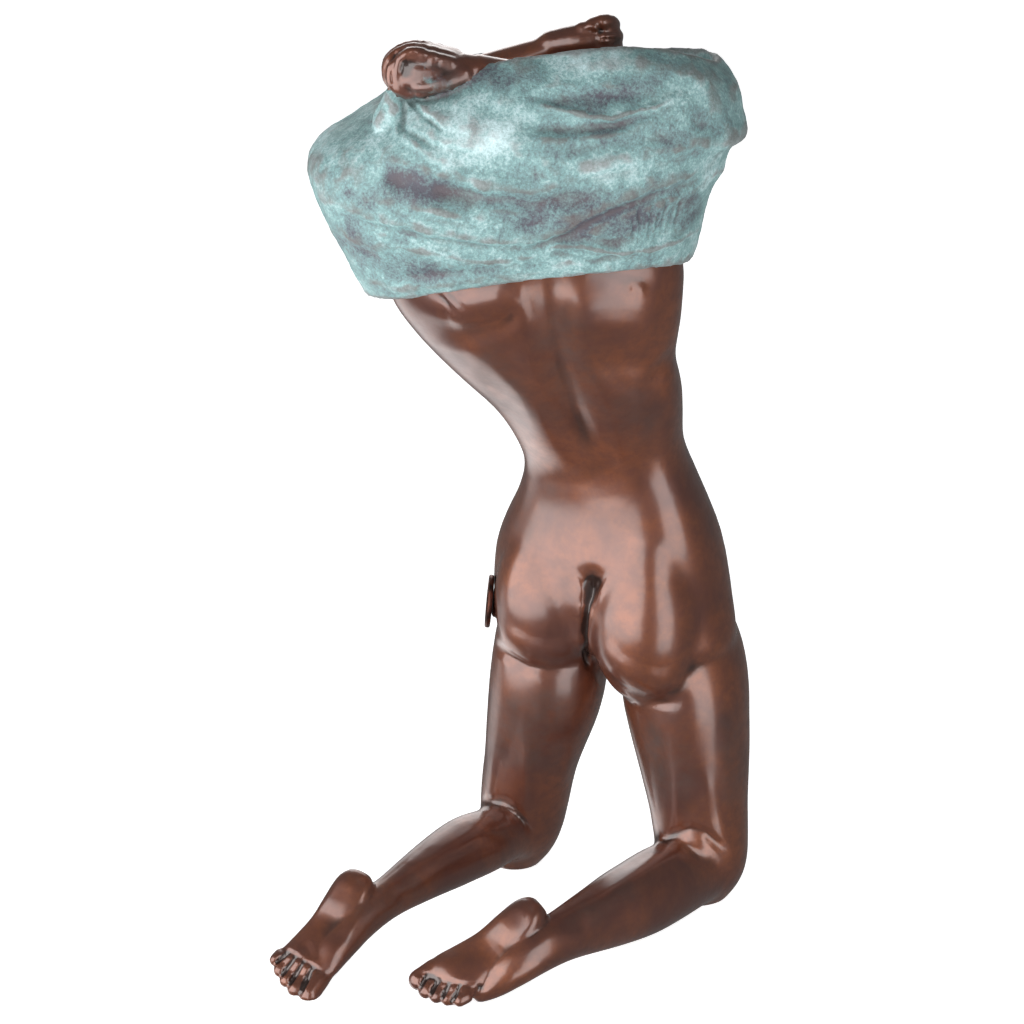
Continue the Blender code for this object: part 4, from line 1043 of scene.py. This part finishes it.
class Finish:
    """A material under construction: short ways to add and join its nodes."""

    def __init__(self, name):
        self.material = bpy.data.materials.new(name)
        self.material.use_nodes = True
        self.nodes = self.material.node_tree.nodes
        self.links = self.material.node_tree.links
        self.shader = self.nodes["Principled BSDF"]
        self.place = self.add("ShaderNodeTexCoord").outputs["Object"]

    def add(self, kind, **settings):
        node = self.nodes.new(kind)
        for name, value in settings.items():
            setattr(node, name, value)
        return node

    def feed(self, target, value):
        if isinstance(value, bpy.types.NodeSocket):
            self.links.new(value, target)
        else:
            target.default_value = value

    def grain(self, scale, detail=4.0, roughness=0.55, distortion=0.0):
        """Noise over the object, scale in patches per metre."""
        node = self.add("ShaderNodeTexNoise")
        self.links.new(self.place, node.inputs["Vector"])
        node.inputs["Scale"].default_value = scale
        node.inputs["Detail"].default_value = detail
        node.inputs["Roughness"].default_value = roughness
        node.inputs["Distortion"].default_value = distortion
        return node.outputs["Fac"]

    def value_of(self, attribute):
        return self.add("ShaderNodeAttribute", attribute_name=attribute).outputs["Fac"]

    def span(self, value, low, high, to_low=0.0, to_high=1.0):
        """Maps low to high onto to_low to to_high, held at the ends."""
        node = self.add("ShaderNodeMapRange", clamp=True)
        self.feed(node.inputs["Value"], value)
        node.inputs["From Min"].default_value = low
        node.inputs["From Max"].default_value = high
        node.inputs["To Min"].default_value = to_low
        node.inputs["To Max"].default_value = to_high
        return node.outputs["Result"]

    def sum(self, first, second, operation="ADD"):
        node = self.add("ShaderNodeMath", operation=operation)
        self.feed(node.inputs[0], first)
        self.feed(node.inputs[1], second)
        return node.outputs[0]

    def blend(self, share, first, second):
        """Colours mixed by share. A colour is three numbers or an output."""
        node = self.add("ShaderNodeMix", data_type="RGBA")
        self.feed(node.inputs["Factor"], share)
        for target, colour in ((node.inputs[6], first), (node.inputs[7], second)):
            self.feed(target, colour if isinstance(colour, bpy.types.NodeSocket) else (*colour, 1.0))
        return node.outputs[2]

    def relief(self, height, distance, onto=None):
        node = self.add("ShaderNodeBump")
        node.inputs["Distance"].default_value = distance
        self.links.new(height, node.inputs["Height"])
        if onto is not None:
            self.links.new(onto, node.inputs["Normal"])
        return node.outputs["Normal"]


def grey_patina_and_sheen_share(finish):
    """How far the grey patina and the painted grey sheen cover the brown patina, in mottles."""
    mottle = finish.span(finish.grain(90.0, 4.0, 0.6), 0.3, 0.7)
    return finish.span(finish.sum(finish.value_of("grey_patina_and_sheen"), mottle, "MULTIPLY"), 0.0, 0.8)


def bronze_colour(finish, settings):
    """Brown patina, darker in broad patches and redder where it is thin. Dark patina and painted shade fill
    the hollows and creases, and a painted grey sheen lies on the flatter parts.
    """
    patches = finish.span(finish.grain(30.0, 4.0, 0.6, 0.3), 0.40, 0.62)
    colour = finish.blend(patches, settings.brown_dark, settings.brown_red)
    mottle = finish.span(finish.grain(260.0, 4.0, 0.65), 0.42, 0.62, 0.0, 0.45)
    colour = finish.blend(mottle, colour, settings.brown_dark)
    # Grey patina on the near palm, and a painted grey sheen on the thighs, back and calves
    colour = finish.blend(grey_patina_and_sheen_share(finish), colour, settings.grey_patina_and_sheen)
    # Dark patina and painted shade in hollows and creases, and painted shade along the shade strokes
    hollow_shade = finish.span(finish.value_of("hollow_and_shade"), 0.10, 0.60, 0.0, 0.9)
    return finish.blend(hollow_shade, colour, settings.soot_and_shade)


def verdigris_colour(finish, settings):
    """Chalky blue-green with grey-violet and brown patches. The hollow measure makes it paler on ridges and
    grey-violet in hollows, which paints light and shade, and browner in hollows as patina.
    """
    hollow_and_shade = finish.value_of("hollow_and_shade")
    broad = finish.grain(48.0, 4.0, 0.6, 0.4)
    middle = finish.grain(230.0, 5.0, 0.7, 0.5)
    speckle = finish.grain(1150.0, 3.0, 0.75)
    # How chalky: broad patches, less in hollows as painted shade, the painted patches of colour and shade,
    # then mottles and specks
    height = finish.sum(finish.sum(broad, 0.8, "MULTIPLY"), 0.09)
    height = finish.sum(height, finish.sum(hollow_and_shade, -0.12, "MULTIPLY"))
    height = finish.sum(height, finish.sum(finish.value_of("tint_and_shade"), 0.42, "MULTIPLY"))
    height = finish.sum(height, finish.sum(finish.sum(middle, -0.5), 0.65, "MULTIPLY"))
    height = finish.sum(height, finish.sum(finish.sum(speckle, -0.5), 0.8, "MULTIPLY"))
    colour = finish.blend(finish.span(height, 0.14, 0.50), settings.violet_and_shade, settings.teal)
    colour = finish.blend(finish.span(height, 0.50, 1.0), colour, settings.pale)
    brown = finish.sum(finish.grain(62.0, 4.0, 0.6), finish.sum(hollow_and_shade, 0.4, "MULTIPLY"))
    colour = finish.blend(finish.span(brown, 0.56, 0.80, 0.0, 0.35), colour, settings.umber)
    worn = finish.sum(finish.sum(hollow_and_shade, -1.0, "MULTIPLY"), finish.sum(middle, 0.6, "MULTIPLY"))
    return finish.blend(finish.span(worn, 0.62, 0.95, 0.0, 0.6), colour, settings.umber)


def figure_finish(settings):
    """One finish for the whole cast: brown bronze, and verdigris on the garment."""
    finish = Finish("bronze_and_verdigris")
    edge = finish.sum(finish.grain(420.0, 3.0), -0.5)
    cloth = finish.sum(finish.value_of("cloth"), finish.sum(edge, 0.9, "MULTIPLY"))
    cloth = finish.span(cloth, 0.36, 0.62)
    shader = finish.shader
    colour = finish.blend(cloth, bronze_colour(finish, settings), verdigris_colour(finish, settings))
    finish.links.new(colour, shader.inputs["Base Color"])
    finish.feed(shader.inputs["Metallic"], finish.span(cloth, 0.0, 1.0, 0.65, 0.1))
    wax = finish.span(finish.grain(130.0, 4.0, 0.6), 0.35, 0.65, 0.36, 0.50)
    rough = finish.add("ShaderNodeMix")
    finish.feed(rough.inputs["Factor"], cloth)
    finish.feed(rough.inputs[2], wax)
    finish.feed(rough.inputs[3], 0.52)
    finish.links.new(rough.outputs[0], shader.inputs["Roughness"])
    skin = finish.relief(finish.grain(520.0, 4.0, 0.6), 0.00006)
    chalk = finish.sum(finish.grain(1150.0, 3.0, 0.75), cloth, "MULTIPLY")
    finish.links.new(finish.relief(chalk, 0.00022, skin), shader.inputs["Normal"])
    dull = finish.sum(cloth, finish.sum(grey_patina_and_sheen_share(finish), 0.55, "MULTIPLY"), "MAXIMUM")
    finish.feed(shader.inputs["Coat Weight"], finish.span(dull, 0.0, 1.0, 1.0, 0.0))
    shader.inputs["Coat Roughness"].default_value = 0.21
    shader.inputs["Coat IOR"].default_value = 1.8
    return finish.material


def seal_finish(settings):
    finish = Finish("seal_bronze")
    patches = finish.span(finish.grain(300.0, 4.0), 0.35, 0.65)
    colour = finish.blend(patches, settings.brown_dark, settings.soot_and_shade)
    finish.links.new(colour, finish.shader.inputs["Base Color"])
    finish.feed(finish.shader.inputs["Roughness"], finish.span(finish.grain(700.0), 0.3, 0.7, 0.3, 0.45))
    finish.links.new(finish.relief(finish.grain(900.0, 4.0), 0.00005), finish.shader.inputs["Normal"])
    finish.shader.inputs["Metallic"].default_value = 0.8
    return finish.material


def add_piece(name, mesh, finish, node):
    mesh.name = name
    mesh.materials.clear()
    mesh.materials.append(finish)
    mesh.shade_smooth()
    piece = bpy.data.objects.new(name, mesh)
    bpy.context.scene.collection.objects.link(piece)
    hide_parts(node)
    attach(piece, "root")
    return piece


def model_seal(settings):
    """The founder's disc: a rounded edge, a raised rim, a plain dished face and two peened pins."""
    bm = bmesh.new()
    radius = settings.diameter / UNIT / 2
    half = settings.thickness / UNIT / 2
    rim = settings.rim / UNIT
    inner = radius - rim
    profile = (
        (0.0, -half),
        (radius - SEAL_BACK_EDGE, -half),
        (radius, -half + SEAL_BACK_EDGE),
        (radius, half - SEAL_FACE_EDGE),
        (radius - SEAL_FACE_EDGE, half),
        (inner, half),
        (inner - SEAL_RIM_SLOPE, half - SEAL_FACE_EDGE),
        (0.0, half - SEAL_DISH),
    )
    line = [bm.verts.new((across, 0.0, up)) for across, up in profile]
    edges = [bm.edges.new(pair) for pair in zip(line, line[1:])]
    bmesh.ops.spin(
        bm, geom=line + edges, cent=(0, 0, 0), axis=(0, 0, 1), dvec=(0, 0, 0),
        angle=math.tau, steps=96, use_merge=True, use_duplicate=False,
    )
    bmesh.ops.remove_doubles(bm, verts=bm.verts, dist=0.001)
    pin = Matrix.Diagonal((SEAL_PIN_RADIUS, SEAL_PIN_RADIUS, SEAL_PIN_HEIGHT, 1.0))
    for side in (-1, 1):
        place = Matrix.Translation((side * radius * SEAL_PIN_PLACE, 0.0, half - SEAL_DISH)) @ pin
        bmesh.ops.create_uvsphere(bm, u_segments=20, v_segments=10, radius=1.0, matrix=place)
    bmesh.ops.recalc_face_normals(bm, faces=bm.faces)
    bmesh.ops.transform(bm, matrix=seal_axes(), verts=bm.verts)
    bmesh.ops.translate(bm, verts=bm.verts, vec=(0.0, 0.0, -REST_FLAT_DEPTH / UNIT))
    mesh = bpy.data.meshes.new("seal")
    bm.to_mesh(mesh)
    bm.free()
    into_place(mesh)
    return mesh


def view_camera():
    """The camera at the viewer's place, looking the way the viewer looks."""
    forward, _, _ = view_axes()
    ground = Vector((0.0, 0.0, REST_FLAT_DEPTH / UNIT))
    aim = placing() @ (VIEW_AIM - ground)
    stand = placing() @ (VIEW_AIM - ground - forward * VIEW_DISTANCE)
    camera = bpy.data.objects.new("camera", bpy.data.cameras.new("camera"))
    camera.data.lens = VIEW_LENS
    camera.data.clip_start = 0.02
    camera.location = stand
    camera.rotation_euler = (aim - stand).to_track_quat("-Z", "Y").to_euler()
    bpy.context.scene.collection.objects.link(camera)
    bpy.context.scene.camera = camera


def bearing(turn, height):
    """The way from the figure towards a turn and a height."""
    return Vector((math.sin(turn) * math.cos(height), -math.cos(turn) * math.cos(height), math.sin(height)))


def softbox(name, turn, height, distance, size, brightness):
    """A soft light that looks at the figure's middle. Turn is counted from the viewer, in degrees."""
    data = bpy.data.lights.new(name, "AREA")
    data.shape = "RECTANGLE"
    data.size, data.size_y = size
    data.energy = brightness * math.pi * size[0] * size[1]
    lamp = bpy.data.objects.new(name, data)
    lamp.visible_camera = False
    way = bearing(POSE_TURN + math.radians(turn), math.radians(height))
    aim = Vector((0.0, 0.0, SOFTBOX_AIM))
    lamp.location = aim + way * distance
    lamp.rotation_euler = way.to_track_quat("Z", "Y").to_euler()
    bpy.context.scene.collection.objects.link(lamp)


def model_floor():
    bm = bmesh.new()
    bmesh.ops.create_circle(bm, cap_ends=True, segments=96, radius=STUDIO_RADIUS)
    mesh = bpy.data.meshes.new("floor")
    bm.to_mesh(mesh)
    bm.free()
    return mesh


def model_backdrop():
    """A pale dome round the studio, from the floor up."""
    bm = bmesh.new()
    bmesh.ops.create_uvsphere(bm, u_segments=96, v_segments=48, radius=STUDIO_RADIUS)
    bmesh.ops.bisect_plane(
        bm, geom=bm.verts[:] + bm.edges[:] + bm.faces[:], plane_co=(0, 0, -0.001),
        plane_no=(0, 0, 1), clear_inner=True,
    )
    bmesh.ops.reverse_faces(bm, faces=bm.faces)
    mesh = bpy.data.meshes.new("backdrop")
    bm.to_mesh(mesh)
    bm.free()
    return mesh


def set_stage(name, mesh, tone, glow):
    """A pale stage surface that mirrors in nothing."""
    finish = Finish(name)
    shade = finish.span(finish.grain(3.0, 2.0), 0.3, 0.7, 0.97, 1.0)
    finish.links.new(finish.blend(shade, (0.8, 0.8, 0.8), tone), finish.shader.inputs["Base Color"])
    finish.shader.inputs["Roughness"].default_value = 0.6
    finish.shader.inputs["Emission Color"].default_value = (1.0, 1.0, 1.0, 1.0)
    finish.shader.inputs["Emission Strength"].default_value = glow
    mesh.materials.append(finish.material)
    surface = bpy.data.objects.new(name, mesh)
    surface.visible_glossy = False
    bpy.context.scene.collection.objects.link(surface)
    return surface


def studio_air(settings):
    """Dim light from all round, and the soft glows of a white sweep that mirror in the bronze."""
    world = bpy.data.worlds.new("studio")
    world.use_nodes = True
    nodes = world.node_tree.nodes
    links = world.node_tree.links
    way = nodes.new("ShaderNodeTexCoord").outputs["Generated"]
    glow = settings.dim
    for turn, height, full, gone, brightness in SWEEPS:
        towards = nodes.new("ShaderNodeVectorMath")
        towards.operation = "DOT_PRODUCT"
        towards.inputs[1].default_value = bearing(POSE_TURN + math.radians(turn), math.radians(height))
        links.new(way, towards.inputs[0])
        fade = nodes.new("ShaderNodeMapRange")
        fade.interpolation_type = "SMOOTHSTEP"
        fade.inputs["From Min"].default_value = math.cos(math.radians(gone))
        fade.inputs["From Max"].default_value = math.cos(math.radians(full))
        fade.inputs["To Max"].default_value = brightness * settings.surround
        links.new(towards.outputs["Value"], fade.inputs["Value"])
        total = nodes.new("ShaderNodeMath")
        links.new(fade.outputs["Result"], total.inputs[0])
        if isinstance(glow, bpy.types.NodeSocket):
            links.new(glow, total.inputs[1])
        else:
            total.inputs[1].default_value = glow
        glow = total.outputs["Value"]
    background = nodes["Background"]
    background.inputs["Color"].default_value = (1.0, 1.0, 1.0, 1.0)
    links.new(glow, background.inputs["Strength"])
    return world


class BronzeFigureSettings(PropertyGroup):
    grain: FloatProperty(
        name="Grain", description="How finely the skin is fused", default=0.00062, unit="LENGTH"
    )
    relief: FloatProperty(
        name="Relief", description="Strength of the modelled strokes", default=1.0, subtype="FACTOR"
    )
    triangles: IntProperty(
        name="Triangles", description="How many triangles the finished skin keeps", default=190000
    )
    brown_dark: FloatVectorProperty(
        name="Dark brown", description="Patina on the body", subtype="COLOR", default=(0.135, 0.042, 0.026)
    )
    brown_red: FloatVectorProperty(
        name="Red brown", description="Where the patina is thin", subtype="COLOR",
        default=(0.25, 0.072, 0.027),
    )
    # Grey patina, which also paints a grey sheen on the thighs, back and calves
    grey_patina_and_sheen: FloatVectorProperty(
        name="Grey brown", description="Greyer patina on flatter parts", subtype="COLOR",
        default=(0.125, 0.080, 0.070),
    )
    # Dark patina of the body's hollows and of the disc's patches, which also paints the shade in the body's
    # hollows, creases and toe gaps
    soot_and_shade: FloatVectorProperty(
        name="Soot", description="Dark patina in hollows", subtype="COLOR", default=(0.028, 0.014, 0.011)
    )
    teal: FloatVectorProperty(
        name="Teal", description="Verdigris on the garment", subtype="COLOR", default=(0.190, 0.332, 0.332)
    )
    pale: FloatVectorProperty(
        name="Pale", description="Chalky verdigris on ridges", subtype="COLOR", default=(0.67, 0.83, 0.86)
    )
    # Grey-violet patches of the garment, which also paint the shade in its hollows and under its folds
    violet_and_shade: FloatVectorProperty(
        name="Grey violet", description="Dark patches of the garment", subtype="COLOR",
        default=(0.082, 0.080, 0.102),
    )
    umber: FloatVectorProperty(
        name="Umber", description="Brown that shows in the garment's hollows", subtype="COLOR",
        default=(0.13, 0.085, 0.08),
    )


class BronzeSealSettings(PropertyGroup):
    diameter: FloatProperty(
        name="Diameter", description="Across the founder's disc", default=SEAL_DIAMETER, unit="LENGTH"
    )
    thickness: FloatProperty(
        name="Thickness", description="Of the disc with its rim", default=SEAL_THICKNESS, unit="LENGTH"
    )
    rim: FloatProperty(name="Rim", description="Width of the raised rim", default=0.0009, unit="LENGTH")


class BronzeStageSettings(PropertyGroup):
    floor: FloatVectorProperty(
        name="Floor", description="Colour of the floor", subtype="COLOR", default=(0.88, 0.88, 0.88)
    )
    glow: FloatProperty(name="Glow", description="Light that the floor gives off by itself", default=0.85)
    surround: FloatProperty(name="Sweep", description="Strength of the sweep", default=1.0)
    dim: FloatProperty(name="Air", description="Brightness all round", default=0.15)
    key: FloatProperty(name="Softboxes", description="Strength of the softboxes", default=1.0)


class BRONZE_OT_figure(Operator):
    """Models the kneeling figure and gives it its patina"""

    bl_idname = "bronze.figure"
    bl_label = "Figure"

    def execute(self, context):
        settings = context.scene.bronze_figure
        mesh = model_figure(settings)
        add_piece("kneeling_figure", mesh, figure_finish(settings), "figure")
        return {"FINISHED"}


class BRONZE_OT_seal(Operator):
    """Models the founder's disc on the hip"""

    bl_idname = "bronze.seal"
    bl_label = "Founder's disc"

    def execute(self, context):
        mesh = model_seal(context.scene.bronze_seal)
        add_piece("founders_disc", mesh, seal_finish(context.scene.bronze_figure), "seal_disc")
        return {"FINISHED"}


class BRONZE_OT_stage(Operator):
    """Sets up the pale floor, the softboxes and the camera"""

    bl_idname = "bronze.stage"
    bl_label = "Stage"

    def execute(self, context):
        settings = context.scene.bronze_stage
        set_stage("floor", model_floor(), tuple(settings.floor), settings.glow)
        backdrop = set_stage("backdrop", model_backdrop(), tuple(settings.floor), BACKDROP_GLOW)
        backdrop.visible_diffuse = False
        backdrop.visible_shadow = False
        for name, turn, height, distance, size, brightness in SOFTBOXES:
            softbox(name, turn, height, distance, size, brightness * settings.key)
        context.scene.world = studio_air(settings)
        context.scene.view_settings.view_transform = "Standard"
        view_camera()
        return {"FINISHED"}


class BRONZE_PT_panel(Panel):
    bl_label = "Kneeling bronze"
    bl_space_type = "VIEW_3D"
    bl_region_type = "UI"
    bl_category = "Bronze"

    def draw(self, context):
        for group, operator in (
            ("bronze_figure", "bronze.figure"),
            ("bronze_seal", "bronze.seal"),
            ("bronze_stage", "bronze.stage"),
        ):
            settings = getattr(context.scene, group)
            box = self.layout.box()
            for name in settings.bl_rna.properties.keys():
                if name not in ("rna_type", "name"):
                    box.prop(settings, name)
            box.operator(operator)


GROUPS = {
    "bronze_figure": BronzeFigureSettings,
    "bronze_seal": BronzeSealSettings,
    "bronze_stage": BronzeStageSettings,
}
CLASSES = (*GROUPS.values(), BRONZE_OT_figure, BRONZE_OT_seal, BRONZE_OT_stage, BRONZE_PT_panel)


def register():
    for kind in CLASSES:
        bpy.utils.register_class(kind)
    for name, group in GROUPS.items():
        setattr(bpy.types.Scene, name, PointerProperty(type=group))


def unregister():
    for name in GROUPS:
        delattr(bpy.types.Scene, name)
    for kind in reversed(CLASSES):
        bpy.utils.unregister_class(kind)


def main():
    register()
    bpy.ops.bronze.stage()
    bpy.ops.bronze.figure()
    bpy.ops.bronze.seal()


if __name__ == "__main__":
    main()
